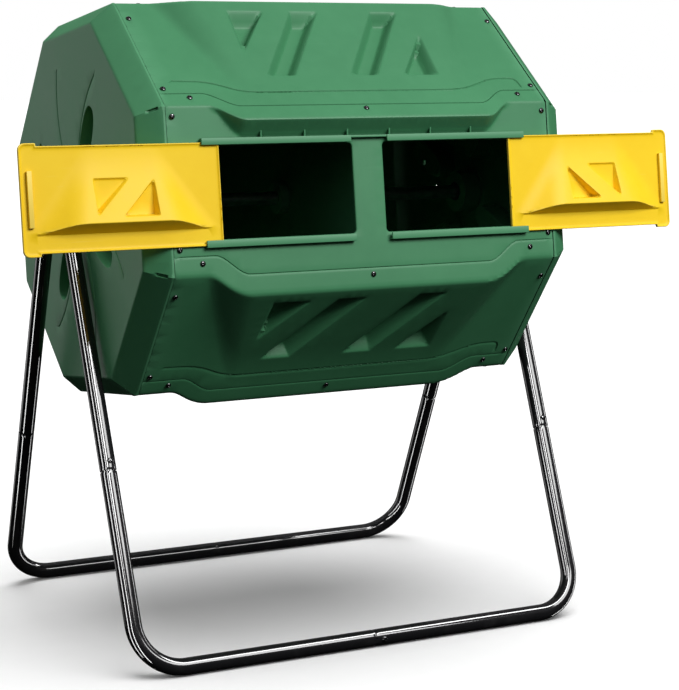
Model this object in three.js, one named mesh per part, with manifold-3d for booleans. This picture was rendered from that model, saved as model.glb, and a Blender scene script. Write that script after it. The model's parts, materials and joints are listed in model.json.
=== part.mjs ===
// Dual-chamber compost tumbler: an octagonal drum of lapped moulded panels on a bent-tube A-frame stand.
// Millimetres, +X along the axle, +Z up, front towards -Y, origin on the floor below the object's middle.
import * as THREE from "three";
import { mergeVertices } from "three/addons/utils/BufferGeometryUtils.js";
import Module from "manifold-3d";

const wasm = await Module();
wasm.setup();

// ---- Driving dimensions ----
const GAP = 0.35; // clearance between touching pieces

const APOTHEM = 277.5; // drum axis to a flat panel face
const HALF_SIDE = APOTHEM * Math.tan(Math.PI / 8); // half of an octagon side
const PANEL_END = 303; // half length of a panel
const SKIN = 3; // panel thickness
const DRUM_TILT = 0.129; // how far the drum is turned on its axle, door face up (radians)
const AXLE_Z = 632; // axle height above the floor
const DRUM_SHIFT_Y = 3.5; // axle's offset from the middle of the footprint, as the doors stand proud

const LAP = 30; // how far a panel's middle reaches past the octagon corner
const LAP_FULL_X = 191; // half width of the fully stepped middle
const LAP_NONE_X = 242; // where the step has died out
const FLANGE = 25.5; // width of the flange that laps over the next panel
const FLANK_SLOPE = 0.366; // how far the plateau's flank moves inwards for each mm down
const PLATEAU_FOOT = -75; // height on the face where the plateau starts
const POCKET_DEPTH = 18; // depth of a panel's recesses
const POCKET_DRAFT = 10; // how far the recess walls lean in

const WINDOW_IN = 24; // post edge
const WINDOW_OUT = 236; // outer edge of a window
const WINDOW_LOW = -66.5;
const WINDOW_TOP = 61;
const WINDOW_RADIUS = 4;
const RAIL_IN = 28.5; // rails run between these distances from the middle
const RAIL_OUT = 256;
const RAIL_RAISE = 8; // rail front above the panel
const RAIL_LIP = 2.5; // thickness of the rail's front lip
const UPPER_RAIL = { ledge: 66.2, edge: 70.7, lip: 61.5 }; // heights on the face
const LOWER_RAIL = { ledge: -75.2, edge: -77.1, lip: -67.4 };
const GUSSET_COUNT = 6;
const GUSSET_PITCH = 66.6;
const GUSSET_HALF = 1.2;

const DOOR_IN = 230; // inner edge of an open door
const DOOR_OUT = 512;
const DOOR_LOW = -74.6;
const DOOR_TOP = 65;
const DOOR_BACK = 0.6; // back of the door above the panel face
const DOOR_FRONT = 3.1;
const DOOR_RIM = 5; // front of the edge rim
const TAB_WIDTH = 24;
const TAB_RISE = 4.1;
const DOOR_CORNER = 5;
const DOOR_RIM_WIDTH = 3;
const HOOD_RISE = 22; // pull hood above the door plate
const HOOD_LIP = -38.6; // open lower lip, and its half width
const HOOD_LIP_HALF = 69.5;
const HOOD_FOOT = -50.5; // where the hood's sides have run out, and their half width
const HOOD_FOOT_HALF = 113.5;
const HOOD_TOP = 38; // where the hood's front meets the plate, and its half width
const HOOD_TOP_HALF = 56;
const DOOR_RECESS_FLOOR = 6;

const CAP_FACE = 337.5; // outer face of an end cap
const CAP_FACE_APOTHEM = 251.6;
const CAP_RIM_APOTHEM = 270.6; // rim that the panel ends are screwed to
const CAP_RIM_DEPTH = 22;
const CAP_OVAL_REACH = 110; // hub to the middle of an oval recess
const CAP_OVAL_ANGLES = [57, -33, -123, 147].map(THREE.MathUtils.degToRad);
const CAP_OVAL_DEPTH = 20;
const OVAL_LONG = 48; // half length and half width of an oval recess
const OVAL_WIDE = 21;
const OVAL_DRAFT = 3;
const HUB_RADIUS = 32;
const HUB_DEPTH = 34;
const BUSH_RADIUS = 14;
const BUSH_FLANGE = 20; // radius of the bush's flange
const BUSH_LENGTH = 36;
const DIVIDER_RIM = 20; // width of the divider's edge against the panels
const DIVIDER_HUB = 24;
const DIVIDER_HUB_HALF = 16;

const TUBE_FLAT = 12; // tube axis to its flat facets
const TUBE_SIDES = 12;
const TUBE_RADIUS = TUBE_FLAT / Math.cos(Math.PI / TUBE_SIDES);
const TUBE_WALL = 1.4;
const FOOT_Y = 283; // floor bar to the axle's plane
const FOOT_X = 356;
const LEG_INNER_X = 353;
const LEG_OUTER_X = 378.5;
const LEG_SPLIT = 0.585; // where a leg is joined, as a part of its length
const LEG_ABOVE_AXLE = 24;
const BEND_RADIUS = 66;
const SPIGOT = 34; // length of the necked tube end in its socket
const BAR_JOINT_X = 3.5;

const AXLE_RADIUS = 10;
const AXLE_END = 340.4;
const INSERT_LENGTH = 25; // threaded insert in each end of the axle
const BOLT_RADIUS = 4;
const BOLT_HEAD = { radius: 7.5, height: 5.3 };
const WASHER_RADIUS = 9;
const WASHER_THICK = 1.6;
const SCREW_RADIUS = 1.8;
const SCREW_HEAD = 4; // radius
const SCREW_ABOVE_JOINT = 14;

// ---- Materials ----
function finish(color, roughness, metalness) {
  return new THREE.MeshStandardMaterial({ color, roughness, metalness });
}

const greenPlastic = finish(0x4e8464, 0.55, 0);
const yellowPlastic = finish(0xf0cd32, 0.5, 0);
const blackTube = finish(0x111111, 0.25, 0.6);
const blackPlastic = finish(0x1a1a1a, 0.6, 0);
const zincSteel = finish(0x9a9c9f, 0.35, 1);
const darkSteel = finish(0x2c2d2e, 0.4, 1);

// ---- Solids ----
function solid(geometry) {
  const bare = geometry.clone();
  bare.deleteAttribute("normal");
  bare.deleteAttribute("uv");
  const merged = mergeVertices(bare, 1e-3);
  return new wasm.Manifold(
    new wasm.Mesh({
      numProp: 3,
      vertProperties: merged.attributes.position.array,
      triVerts: new Uint32Array(merged.index.array),
    }),
  );
}

function geometryOf(manifold) {
  const mesh = manifold.getMesh();
  const geometry = new THREE.BufferGeometry();
  geometry.setAttribute("position", new THREE.BufferAttribute(mesh.vertProperties, 3));
  geometry.setIndex(new THREE.BufferAttribute(mesh.triVerts, 1));
  return geometry;
}

// Joins the first geometry with those in `more`, then cuts away those in `cuts`.
function combine(geometry, more, cuts) {
  let result = solid(geometry);
  for (const piece of more) result = result.add(solid(piece));
  for (const piece of cuts) result = result.subtract(solid(piece));
  return geometryOf(result);
}

// A closed sheet between two grids of points, grid[column][row], the outer one facing out.
function sheet(outer, inner) {
  const columns = outer.length;
  const rows = outer[0].length;
  const vertices = [...outer.flat(), ...inner.flat()].flatMap((p) => p.toArray());
  const at = (side, i, j) => side * columns * rows + i * rows + j;
  const faces = [];
  const quad = (a, b, c, d) => faces.push(a, b, c, a, c, d);
  for (let i = 0; i + 1 < columns; i++) {
    for (let j = 0; j + 1 < rows; j++) {
      quad(at(0, i, j), at(0, i + 1, j), at(0, i + 1, j + 1), at(0, i, j + 1));
      quad(at(1, i, j), at(1, i, j + 1), at(1, i + 1, j + 1), at(1, i + 1, j));
    }
    quad(at(0, i, 0), at(1, i, 0), at(1, i + 1, 0), at(0, i + 1, 0));
    quad(at(0, i, rows - 1), at(0, i + 1, rows - 1), at(1, i + 1, rows - 1), at(1, i, rows - 1));
  }
  for (let j = 0; j + 1 < rows; j++) {
    quad(at(0, 0, j), at(0, 0, j + 1), at(1, 0, j + 1), at(1, 0, j));
    const last = columns - 1;
    quad(at(0, last, j), at(1, last, j), at(1, last, j + 1), at(0, last, j + 1));
  }
  const geometry = new THREE.BufferGeometry();
  geometry.setAttribute("position", new THREE.Float32BufferAttribute(vertices, 3));
  geometry.setIndex(faces);
  return geometry;
}

// A point of the front face: x along the drum, s up the face, r out of the face.
const facePoint = (x, s, r) => new THREE.Vector3(x, -(APOTHEM + r), s);

// A solid between two outlines of the same number of [x, s, r] points, anticlockwise seen from outside.
function frustum(bottom, top) {
  const count = bottom.length;
  const vertices = [...bottom, ...top].flatMap((p) => facePoint(...p).toArray());
  const faces = [];
  for (let i = 0; i < count; i++) {
    const next = (i + 1) % count;
    faces.push(i, next, count + next, i, count + next, count + i);
  }
  for (let i = 1; i + 1 < count; i++) {
    faces.push(0, i + 1, i);
    faces.push(count, count + i, count + i + 1);
  }
  const geometry = new THREE.BufferGeometry();
  geometry.setAttribute("position", new THREE.Float32BufferAttribute(vertices, 3));
  geometry.setIndex(faces);
  return geometry;
}

// Moves each edge of a convex anticlockwise outline inwards by `distance`.
function inset(outline, distance) {
  const count = outline.length;
  return outline.map(([x, s], i) => {
    const [px, ps] = outline[(i + count - 1) % count];
    const [nx, ns] = outline[(i + 1) % count];
    const before = new THREE.Vector2(x - px, s - ps).normalize();
    const after = new THREE.Vector2(nx - x, ns - s).normalize();
    const inward = new THREE.Vector2(-before.y - after.y, before.x + after.x).normalize();
    const reach = distance / (inward.x * -after.y + inward.y * after.x);
    return [x + inward.x * reach, s + inward.y * reach];
  });
}

// A box given by its lowest and highest x, s and r on the front face.
function faceBox(x0, x1, s0, s1, r0, r1) {
  const outline = [[x0, s0], [x1, s0], [x1, s1], [x0, s1]];
  return frustum(outline.map(([x, s]) => [x, s, r0]), outline.map(([x, s]) => [x, s, r1]));
}

// ---- Panels ----
// How far the stepped middle reaches past the octagon corner at x.
function lapAt(x) {
  const t = THREE.MathUtils.clamp((LAP_NONE_X - Math.abs(x)) / (LAP_NONE_X - LAP_FULL_X), 0, 1);
  return LAP * t * t * (3 - 2 * t);
}

const flangeAt = (x) => FLANGE + (2.5 * lapAt(x)) / LAP;
const seamAt = (x) => -HALF_SIDE - lapAt(x) + flangeAt(x);
const COS45 = Math.SQRT1_2;

// The upper bend of a panel at x, as [s, r].
const bendAt = (x) => [HALF_SIDE - COS45 * lapAt(x), COS45 * lapAt(x)];

// The plateau rises evenly from its foot to the bend.
const plateauRise = (s) => (bendAt(0)[1] * (s - PLATEAU_FOOT)) / (bendAt(0)[0] - PLATEAU_FOOT);

// Offsets a polyline of [s, r] points inwards by the skin thickness, with mitred corners.
function innerLine(line, thickness) {
  const normal = ([s0, r0], [s1, r1]) => new THREE.Vector2(s1 - s0, r1 - r0).normalize();
  return line.map(([s, r], i) => {
    const before = normal(line[Math.max(i - 1, 0)], line[Math.max(i, 1)]);
    const after = i + 1 < line.length ? normal(line[i], line[i + 1]) : before;
    const sum = new THREE.Vector2(before.y + after.y, -before.x - after.x).normalize();
    const reach = thickness / (sum.x * after.y - sum.y * after.x);
    return [s + sum.x * reach, r + sum.y * reach];
  });
}

const LIP_SHORT = 5.5; // the lower lip ends this far before the octagon corner below it
const JOG = 1; // the lip steps under the flange below over this height
const SOFFIT_REACH = 1.39; // the soffit over the doors runs in this far for each mm of lap

// One panel's cross-section at x from its lapped lower lip to the end of its upper flange: [s, r] points.
function panelLine(x, isDoorPanel) {
  const under = -(SKIN + GAP);
  const seam = seamAt(x) + JOG;
  const [bendS, bendR] = bendAt(x);
  const flange = [bendS + COS45 * flangeAt(x), bendR - COS45 * flangeAt(x)];
  const lower = [[-HALF_SIDE - lapAt(x) + LIP_SHORT, under], [seam - GAP, under], [seam, 0]];
  const foot = isDoorPanel ? [HALF_SIDE - SOFFIT_REACH * lapAt(x) - JOG, 0] : [PLATEAU_FOOT, 0];
  return [...lower, foot, [bendS, bendR], flange];
}

// The columns stand closer where the step dies out.
const STEP_COLUMNS = [0, 1 / 3, 2 / 3, 1].map((t) => THREE.MathUtils.lerp(LAP_FULL_X, LAP_NONE_X, t));
const RIGHT_COLUMNS = [...STEP_COLUMNS, PANEL_END - GAP];
const PANEL_COLUMNS = [...RIGHT_COLUMNS.map((x) => -x).reverse(), 0, ...RIGHT_COLUMNS];
const FOOT_ROW = 3;

function panelSkin(isDoorPanel) {
  const outer = [];
  const inner = [];
  for (const x of PANEL_COLUMNS) {
    const line = panelLine(x, isDoorPanel);
    // The plateau's foot is narrower than its top: its outline leans in on the way down.
    const isFlank = !isDoorPanel && Math.abs(x) <= LAP_NONE_X;
    const lean = isFlank ? Math.sign(x) * FLANK_SLOPE * (bendAt(x)[0] - PLATEAU_FOOT) : 0;
    const back = innerLine(line, SKIN);
    outer.push(line.map(([s, r], j) => facePoint(j === FOOT_ROW ? x - lean : x, s, r)));
    inner.push(back.map(([s, r], j) => facePoint(j === FOOT_ROW ? x - lean : x, s, r)));
  }
  return sheet(outer, inner);
}

// The recesses of a panel's middle, as anticlockwise [x, s] outlines: a triangle and a slanted slot, and
// the same two turned half round about the group's middle.
const RECESS_MIDDLE = [-2, 9.5];
const RECESS_LOW = -54;
const RECESS_TOP = 73;
const recessTriangle = [[-151, -11], [-93, RECESS_TOP], [-151, RECESS_TOP]];
const recessSlot = [[-130, RECESS_LOW], [-85, RECESS_LOW], [-5.5, RECESS_TOP], [-50.5, RECESS_TOP]];
const halfTurn = ([x, s]) => [2 * RECESS_MIDDLE[0] - x, 2 * RECESS_MIDDLE[1] - s];
const recessSlots = [recessSlot, recessSlot.map(halfTurn)];
const recessOutlines = [recessTriangle, ...recessSlots, recessTriangle.map(halfTurn)];

const lift = (outline, height) => outline.map(([x, s]) => [x, s, height(s)]);

const recessFloor = (s) => plateauRise(s) - POCKET_DEPTH;

function recessCup(outline, extra) {
  const wide = inset(outline, -SKIN - extra);
  const low = inset(outline, POCKET_DRAFT - SKIN - extra);
  const under = lift(low, (s) => recessFloor(s) - SKIN - extra);
  return frustum(under, lift(wide, (s) => plateauRise(s) - SKIN / 2));
}

function recessHollow(outline) {
  const low = lift(inset(outline, POCKET_DRAFT), recessFloor);
  return frustum(low, lift(inset(outline, -POCKET_DRAFT / 4), (s) => plateauRise(s) + POCKET_DEPTH / 4));
}

function plainPanel() {
  return combine(
    panelSkin(false),
    recessOutlines.map((outline) => recessCup(outline, 0)),
    recessOutlines.map(recessHollow),
  );
}

// ---- Door panel ----
function windowCut(side) {
  const shape = new THREE.Shape();
  const width = WINDOW_OUT - WINDOW_IN;
  const height = WINDOW_TOP - WINDOW_LOW;
  const r = WINDOW_RADIUS;
  shape.moveTo(r, 0);
  shape.lineTo(width - r, 0);
  shape.absarc(width - r, r, r, -Math.PI / 2, 0);
  shape.absarc(width - r, height - r, r, 0, Math.PI / 2);
  shape.absarc(r, height - r, r, Math.PI / 2, Math.PI);
  shape.absarc(r, r, r, Math.PI, Math.PI * 1.5);
  const cut = new THREE.ExtrudeGeometry(shape, { depth: 8 * SKIN, bevelEnabled: false, curveSegments: 3 });
  cut.rotateX(Math.PI / 2);
  const left = side > 0 ? WINDOW_IN : -WINDOW_OUT;
  return cut.translate(left, -APOTHEM + 4 * SKIN, WINDOW_LOW);
}

// An L-shaped slide rail: a ledge out of the panel with a lip that holds the door's edge.
function rail(x0, x1, { ledge, edge, lip }) {
  const between = (a, b, r0) => faceBox(x0, x1, Math.min(a, b), Math.max(a, b), r0, RAIL_RAISE);
  return [between(ledge, edge, -SKIN / 2), between(edge, lip, RAIL_RAISE - RAIL_LIP)];
}

// A thin rib between the upper rail and the soffit above it.
const GUSSET_SIDE = [[69, 0], [69, 6.5], [82, 7.5], [84, 10], [77, 1]];

function gusset(x) {
  const at = (offset) => GUSSET_SIDE.map(([s, r]) => [x + offset, s, r]);
  return frustum(at(GUSSET_HALF), at(-GUSSET_HALF));
}

function doorPanel() {
  const additions = [];
  for (const [x0, x1] of [[-RAIL_OUT, -RAIL_IN], [RAIL_IN, RAIL_OUT]]) {
    additions.push(...rail(x0, x1, UPPER_RAIL));
    additions.push(...rail(x0, x1, LOWER_RAIL));
  }
  // A thinner ledge across the middle post joins the two upper rails.
  const post = RAIL_IN + 1;
  const top = UPPER_RAIL.edge - GAP;
  additions.push(faceBox(-post, post, top - SKIN, top, -SKIN / 2, RAIL_RAISE - 1));
  for (let i = 0; i < GUSSET_COUNT; i++) {
    additions.push(gusset((i - (GUSSET_COUNT - 1) / 2) * GUSSET_PITCH));
  }
  return combine(panelSkin(true), additions, [windowCut(-1), windowCut(1)]);
}

// ---- End caps ----
function octagonLathe(points) {
  const profile = points.map(([apothem, x]) => new THREE.Vector2(apothem / Math.cos(Math.PI / 8), x));
  return new THREE.LatheGeometry(profile, 8, Math.PI / 8).rotateZ(-Math.PI / 2);
}

const ROUND = 24; // segments of the larger turned pieces
const SMALL_ROUND = 12;

// A round piece about the X axis from a profile of [radius, x] points.
function turned(points, segments) {
  const profile = points.map(([radius, x]) => new THREE.Vector2(radius, x));
  return new THREE.LatheGeometry(profile, segments).rotateZ(-Math.PI / 2);
}

const disc = (radius, x0, x1, segments) => turned([[0, x0], [radius, x0], [radius, x1], [0, x1]], segments);

// The filling of an oval recess in the cap's face, as a tapered plug that points away from the hub.
function ovalPlug(halfLong, halfWide, x0, x1, angle) {
  const shape = new THREE.Shape();
  shape.absellipse(0, 0, halfWide, halfLong, 0, Math.PI * 2);
  const plug = new THREE.ExtrudeGeometry(shape, { depth: x1 - x0, bevelEnabled: false, curveSegments: 7 });
  const position = plug.attributes.position;
  for (let i = 0; i < position.count; i++) {
    const deep = 1 - position.getZ(i) / (x1 - x0);
    position.setX(i, position.getX(i) * (1 - (deep * OVAL_DRAFT) / halfWide));
    position.setY(i, position.getY(i) * (1 - (deep * OVAL_DRAFT) / halfLong));
  }
  return plug.rotateY(Math.PI / 2).translate(x0, -CAP_OVAL_REACH, 0).rotateX(-angle);
}

function endCap() {
  const shoulder = PANEL_END + GAP;
  const rimStart = PANEL_END - CAP_RIM_DEPTH;
  const bevel = (APOTHEM - CAP_FACE_APOTHEM) / (CAP_FACE - shoulder);
  const backFace = CAP_FACE - SKIN;
  const innerRim = CAP_RIM_APOTHEM - SKIN;
  const bevelIn = shoulder + (APOTHEM - SKIN * 1.3 - innerRim) / bevel;
  const dish = octagonLathe([
    [0, backFace],
    [CAP_FACE_APOTHEM - SKIN / 2, backFace],
    [innerRim, bevelIn],
    [innerRim, rimStart],
    [CAP_RIM_APOTHEM, rimStart],
    [CAP_RIM_APOTHEM, shoulder],
    [APOTHEM, shoulder],
    [CAP_FACE_APOTHEM, CAP_FACE],
    [0, CAP_FACE],
  ]);
  const floor = CAP_FACE - CAP_OVAL_DEPTH;
  const cups = CAP_OVAL_ANGLES.map((a) =>
    ovalPlug(OVAL_LONG + SKIN, OVAL_WIDE + SKIN, floor - SKIN, backFace + SKIN / 2, a),
  );
  const hollows = CAP_OVAL_ANGLES.map((a) => ovalPlug(OVAL_LONG, OVAL_WIDE, floor, CAP_FACE + 1, a));
  const hub = disc(HUB_RADIUS, CAP_FACE - HUB_DEPTH, CAP_FACE - 1, ROUND);
  const bore = disc(BUSH_RADIUS + GAP, CAP_FACE - 2 * HUB_DEPTH, CAP_FACE + 1, ROUND);
  return combine(dish, [hub, ...cups], [bore, ...hollows]);
}

function hubBush() {
  const hole = AXLE_RADIUS + GAP;
  const start = CAP_FACE - BUSH_LENGTH;
  const flangeIn = CAP_FACE + GAP;
  const flangeOut = flangeIn + 2;
  const body = [[hole, start], [BUSH_RADIUS, start], [BUSH_RADIUS, flangeIn]];
  const flange = [[BUSH_FLANGE, flangeIn], [BUSH_FLANGE, flangeOut], [hole, flangeOut], [hole, start]];
  return turned([...body, ...flange], ROUND);
}

// ---- Divider ----
// Its edge follows the inside of the panels along the drum's middle: [s, r] points of each face.
const UNDER_FLANGE = [-117, -7.4];
const UNDER_SOFFIT = [[76, -6.5], [89, 2]];
const UNDER_PLATEAU = [[PLATEAU_FOOT, -6], [88, plateauRise(88) - 5]];

function dividerOutline(shrink) {
  const outline = [];
  for (let k = 0; k < 8; k++) {
    for (const [s, r] of [UNDER_FLANGE, ...(k === 0 ? UNDER_SOFFIT : UNDER_PLATEAU)]) {
      const point = facePoint(0, s, r).applyAxisAngle(new THREE.Vector3(1, 0, 0), (-k * Math.PI) / 4);
      outline.push(new THREE.Vector2(-point.y * shrink, point.z * shrink));
    }
  }
  return outline;
}

function centreDivider() {
  const along = (shape, width) => {
    const plate = new THREE.ExtrudeGeometry(shape, { depth: width, bevelEnabled: false });
    return plate.rotateX(Math.PI / 2).rotateZ(-Math.PI / 2).translate(width / 2, 0, 0);
  };
  const web = along(new THREE.Shape(dividerOutline(1)), SKIN);
  const rim = new THREE.Shape(dividerOutline(1));
  rim.holes.push(new THREE.Path(dividerOutline(1 - SKIN / APOTHEM)));
  const hub = disc(DIVIDER_HUB, -DIVIDER_HUB_HALF, DIVIDER_HUB_HALF, ROUND);
  const bore = disc(AXLE_RADIUS + 2 * GAP, -DIVIDER_HUB, DIVIDER_HUB, ROUND);
  const recesses = [];
  for (let k = 1; k < 8; k++) {
    for (const outline of recessSlots) {
      recesses.push(recessCup(outline, 1).rotateX((-k * Math.PI) / 4));
    }
  }
  return combine(web, [along(rim, DIVIDER_RIM), hub], [bore, ...recesses]);
}

// ---- Doors ----
// Built for the right-hand door; u runs from the door's middle towards its outer edge.
const DOOR_MIDDLE = (DOOR_IN + DOOR_OUT) / 2;
const DOOR_HALF = (DOOR_OUT - DOOR_IN) / 2;
const hoodRise = (s) => DOOR_FRONT + (HOOD_RISE * (HOOD_TOP - s)) / (HOOD_TOP - HOOD_LIP);

function doorSkin() {
  const edge = DOOR_HALF - 1;
  const hood = [[-HOOD_FOOT_HALF, 0], [-HOOD_LIP_HALF, 1], [HOOD_LIP_HALF, 1], [HOOD_FOOT_HALF, 0]];
  const outer = [];
  const inner = [];
  for (const [u, rise] of [[-edge, 0], ...hood, [edge, 0]]) {
    const lip = rise ? HOOD_LIP : HOOD_FOOT + 1;
    const topU = rise ? Math.sign(u) * HOOD_TOP_HALF : u;
    const below = [[u, DOOR_LOW + 1, 0], [u, HOOD_FOOT, 0]];
    const rows = [...below, [u, lip, rise], [topU, HOOD_TOP, 0], [topU, DOOR_TOP - 1, 0]];
    outer.push(rows.map(([a, s, h]) => facePoint(DOOR_MIDDLE + a, s, DOOR_FRONT + h * HOOD_RISE)));
    inner.push(rows.map(([a, s, h]) => facePoint(DOOR_MIDDLE + a, s + h * SKIN, DOOR_BACK + h * HOOD_RISE)));
  }
  return sheet(outer, inner);
}

// The door's edge rim, with a tab above and below at its outer end.
function doorRing() {
  const tab = DOOR_OUT - TAB_WIDTH;
  const low = DOOR_LOW - TAB_RISE;
  const top = DOOR_TOP + TAB_RISE;
  const edge = new THREE.Shape();
  edge.moveTo(DOOR_IN, DOOR_LOW).lineTo(tab, DOOR_LOW).lineTo(tab, low);
  edge.absarc(DOOR_OUT - DOOR_CORNER, low + DOOR_CORNER, DOOR_CORNER, -Math.PI / 2, 0);
  edge.absarc(DOOR_OUT - DOOR_CORNER, top - DOOR_CORNER, DOOR_CORNER, 0, Math.PI / 2);
  edge.lineTo(tab, top).lineTo(tab, DOOR_TOP).lineTo(DOOR_IN, DOOR_TOP);
  const hole = [[DOOR_IN, DOOR_LOW], [DOOR_OUT, DOOR_LOW], [DOOR_OUT, DOOR_TOP], [DOOR_IN, DOOR_TOP]];
  edge.holes.push(new THREE.Path(inset(hole, DOOR_RIM_WIDTH).map(([x, s]) => new THREE.Vector2(x, s))));
  const rise = { depth: DOOR_RIM - DOOR_BACK, bevelEnabled: false, curveSegments: 3 };
  const ring = new THREE.ExtrudeGeometry(edge, rise);
  return ring.rotateX(Math.PI / 2).translate(0, -APOTHEM - DOOR_BACK, 0);
}

// The two recesses in the hood's front, as [u, s] outlines, and the finger rib near the outer edge.
const DOOR_RECESSES = [
  [[-43, -30], [4.5, -30], [-42.5, 17]],
  [[41.5, -27], [41.5, 20], [-6.5, 20]],
];
const GRIP = { out: 9, width: 7, low: -41, top: 33 };

function slidingDoor() {
  const floor = DOOR_RECESS_FLOOR;
  const triangles = DOOR_RECESSES.map((outline) => outline.map(([u, s]) => [DOOR_MIDDLE + u, s]));
  const cups = triangles.map((t) => {
    const wide = inset(t, -2);
    return frustum(lift(wide, () => floor - 2.5), lift(wide, (s) => Math.max(hoodRise(s) - 1, floor - 1)));
  });
  const hollows = triangles.map((t) => frustum(lift(t, () => floor), lift(t, (s) => hoodRise(s) + SKIN)));
  const gripOut = DOOR_OUT - GRIP.out;
  const grip = faceBox(gripOut - GRIP.width, gripOut, GRIP.low, GRIP.top, DOOR_BACK + 1, DOOR_RIM + SKIN);
  return combine(doorSkin(), [doorRing(), grip, ...cups], hollows);
}

// ---- Stand ----
const tubeSection = () => {
  const ring = (radius, Type) => {
    const path = new Type();
    for (let i = 0; i < TUBE_SIDES; i++) {
      const a = ((i + 0.5) * 2 * Math.PI) / TUBE_SIDES;
      path[i ? "lineTo" : "moveTo"](radius * Math.cos(a), radius * Math.sin(a));
    }
    return path;
  };
  const section = ring(TUBE_RADIUS, THREE.Shape);
  section.holes.push(ring(TUBE_RADIUS - TUBE_WALL, THREE.Path));
  return section;
};

function tubeAlong(curve, steps) {
  return new THREE.ExtrudeGeometry(tubeSection(), { steps, extrudePath: curve, bevelEnabled: false });
}

// A straight run, a round bend and a second straight run, each straight being one step.
class BentPath extends THREE.Curve {
  constructor(start, corner, end, radius, bendSteps) {
    super();
    const back = start.clone().sub(corner).normalize();
    const on = end.clone().sub(corner).normalize();
    const reach = radius / Math.tan(back.angleTo(on) / 2);
    this.start = start;
    this.end = end;
    this.bendStart = corner.clone().addScaledVector(back, reach);
    this.bendEnd = corner.clone().addScaledVector(on, reach);
    const handle = 0.5523;
    this.bend = new THREE.CubicBezierCurve3(
      this.bendStart,
      this.bendStart.clone().lerp(corner, handle),
      this.bendEnd.clone().lerp(corner, handle),
      this.bendEnd,
    );
    this.steps = bendSteps + 2;
  }
  getUtoTmapping(u) {
    return u;
  }
  getPoint(t) {
    const k = t * this.steps;
    if (k <= 1) return this.start.clone().lerp(this.bendStart, k);
    if (k >= this.steps - 1) return this.bendEnd.clone().lerp(this.end, k - this.steps + 1);
    return this.bend.getPoint((k - 1) / (this.steps - 2));
  }
}

// A round piece on the line from `base` along `direction`, from a profile of [radius, height] points.
function turnedOn(points, segments, base, direction) {
  const lathe = new THREE.LatheGeometry(points.map(([radius, h]) => new THREE.Vector2(radius, h)), segments);
  lathe.applyQuaternion(new THREE.Quaternion().setFromUnitVectors(new THREE.Vector3(0, 1, 0), direction));
  return lathe.translate(base.x, base.y, base.z);
}

// A necked tube end: it grips the wall of its own tube and slides into the next one.
function spigot(base, direction) {
  const out = TUBE_FLAT - TUBE_WALL - GAP;
  const hole = out - TUBE_WALL;
  const grip = TUBE_FLAT - TUBE_WALL / 3;
  const back = -SPIGOT / 4;
  const wide = [[hole, back], [grip, back], [grip, -1]];
  const neck = [[out, -GAP], [out, SPIGOT], [hole, SPIGOT], [hole, back]];
  return turnedOn([...wide, ...neck], 16, base, direction);
}

// A pan-head screw and the hole cut for it, as [radius, height] points; height 0 is the tube's surface.
const SCREW_REACH = 4.5;
const screwHead = [[SCREW_HEAD, GAP], [SCREW_HEAD, 1.6], [2.6, 2.7], [0, 2.7]];
const screwProfile = [[0, -SCREW_REACH], [SCREW_RADIUS, -SCREW_REACH], [SCREW_RADIUS, GAP], ...screwHead];
const CUT_RADIUS = SCREW_RADIUS + GAP;
const screwHole = [[0, -7], [CUT_RADIUS, -7], [CUT_RADIUS, 5], [0, 5]];
const screw = (at, axis) => turnedOn(screwProfile, SMALL_ROUND, at, axis);
const screwCut = (at, axis) => turnedOn(screwHole, SMALL_ROUND, at, axis);

// Each leg stands at one end (side) of the front or rear (face) frame.
const LEGS = [
  { name: "front_left", side: -1, face: -1, topX: LEG_INNER_X },
  { name: "front_right", side: 1, face: -1, topX: LEG_OUTER_X },
  { name: "rear_left", side: -1, face: 1, topX: LEG_OUTER_X },
  { name: "rear_right", side: 1, face: 1, topX: LEG_INNER_X },
];

function legPlan({ side, face, topX }) {
  const top = new THREE.Vector3(side * topX, 0, AXLE_Z);
  const foot = new THREE.Vector3(side * FOOT_X, face * FOOT_Y, TUBE_FLAT);
  const down = foot.clone().sub(top).normalize();
  const crown = top.clone().addScaledVector(down, -LEG_ABOVE_AXLE);
  const split = top.clone().lerp(foot, LEG_SPLIT);
  const outward = new THREE.Vector3(0, face * -down.z, face * down.y).normalize();
  const screwAt = split.clone().addScaledVector(down, -SCREW_ABOVE_JOINT);
  screwAt.addScaledVector(outward, TUBE_FLAT + GAP);
  return { top, foot, down, crown, split, outward, screwAt };
}

function upperLeg(leg) {
  const { down, crown, split, outward, screwAt } = legPlan(leg);
  const end = split.clone().addScaledVector(down, -GAP);
  const tube = tubeAlong(new THREE.LineCurve3(crown, end), 1);
  const boltHole = disc(BOLT_RADIUS + GAP, -2 * TUBE_FLAT, 2 * TUBE_FLAT, SMALL_ROUND);
  boltHole.translate(leg.side * leg.topX, 0, AXLE_Z);
  return combine(tube, [], [boltHole, screwCut(screwAt, outward)]);
}

// The half floor bar ends in a socket on the right and in a spigot on the left.
function lowerTube(leg) {
  const { foot, down, split, outward, screwAt } = legPlan(leg);
  const barEnd = new THREE.Vector3(BAR_JOINT_X + (leg.side > 0 ? GAP : 0), foot.y, foot.z);
  const tube = tubeAlong(new BentPath(barEnd, foot, split, BEND_RADIUS, 8), 10);
  const necks = [spigot(split, down.clone().negate())];
  if (leg.side < 0) necks.push(spigot(barEnd, new THREE.Vector3(1, 0, 0)));
  const { at, axis } = barScrewPlace(leg.face);
  return combine(tube, necks, [screwCut(screwAt, outward), screwCut(at, axis)]);
}

function barScrewPlace(face) {
  const axis = new THREE.Vector3(0, face, 0);
  const y = face * (FOOT_Y + TUBE_FLAT + GAP);
  return { at: new THREE.Vector3(BAR_JOINT_X + SCREW_ABOVE_JOINT, y, TUBE_FLAT), axis };
}

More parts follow.
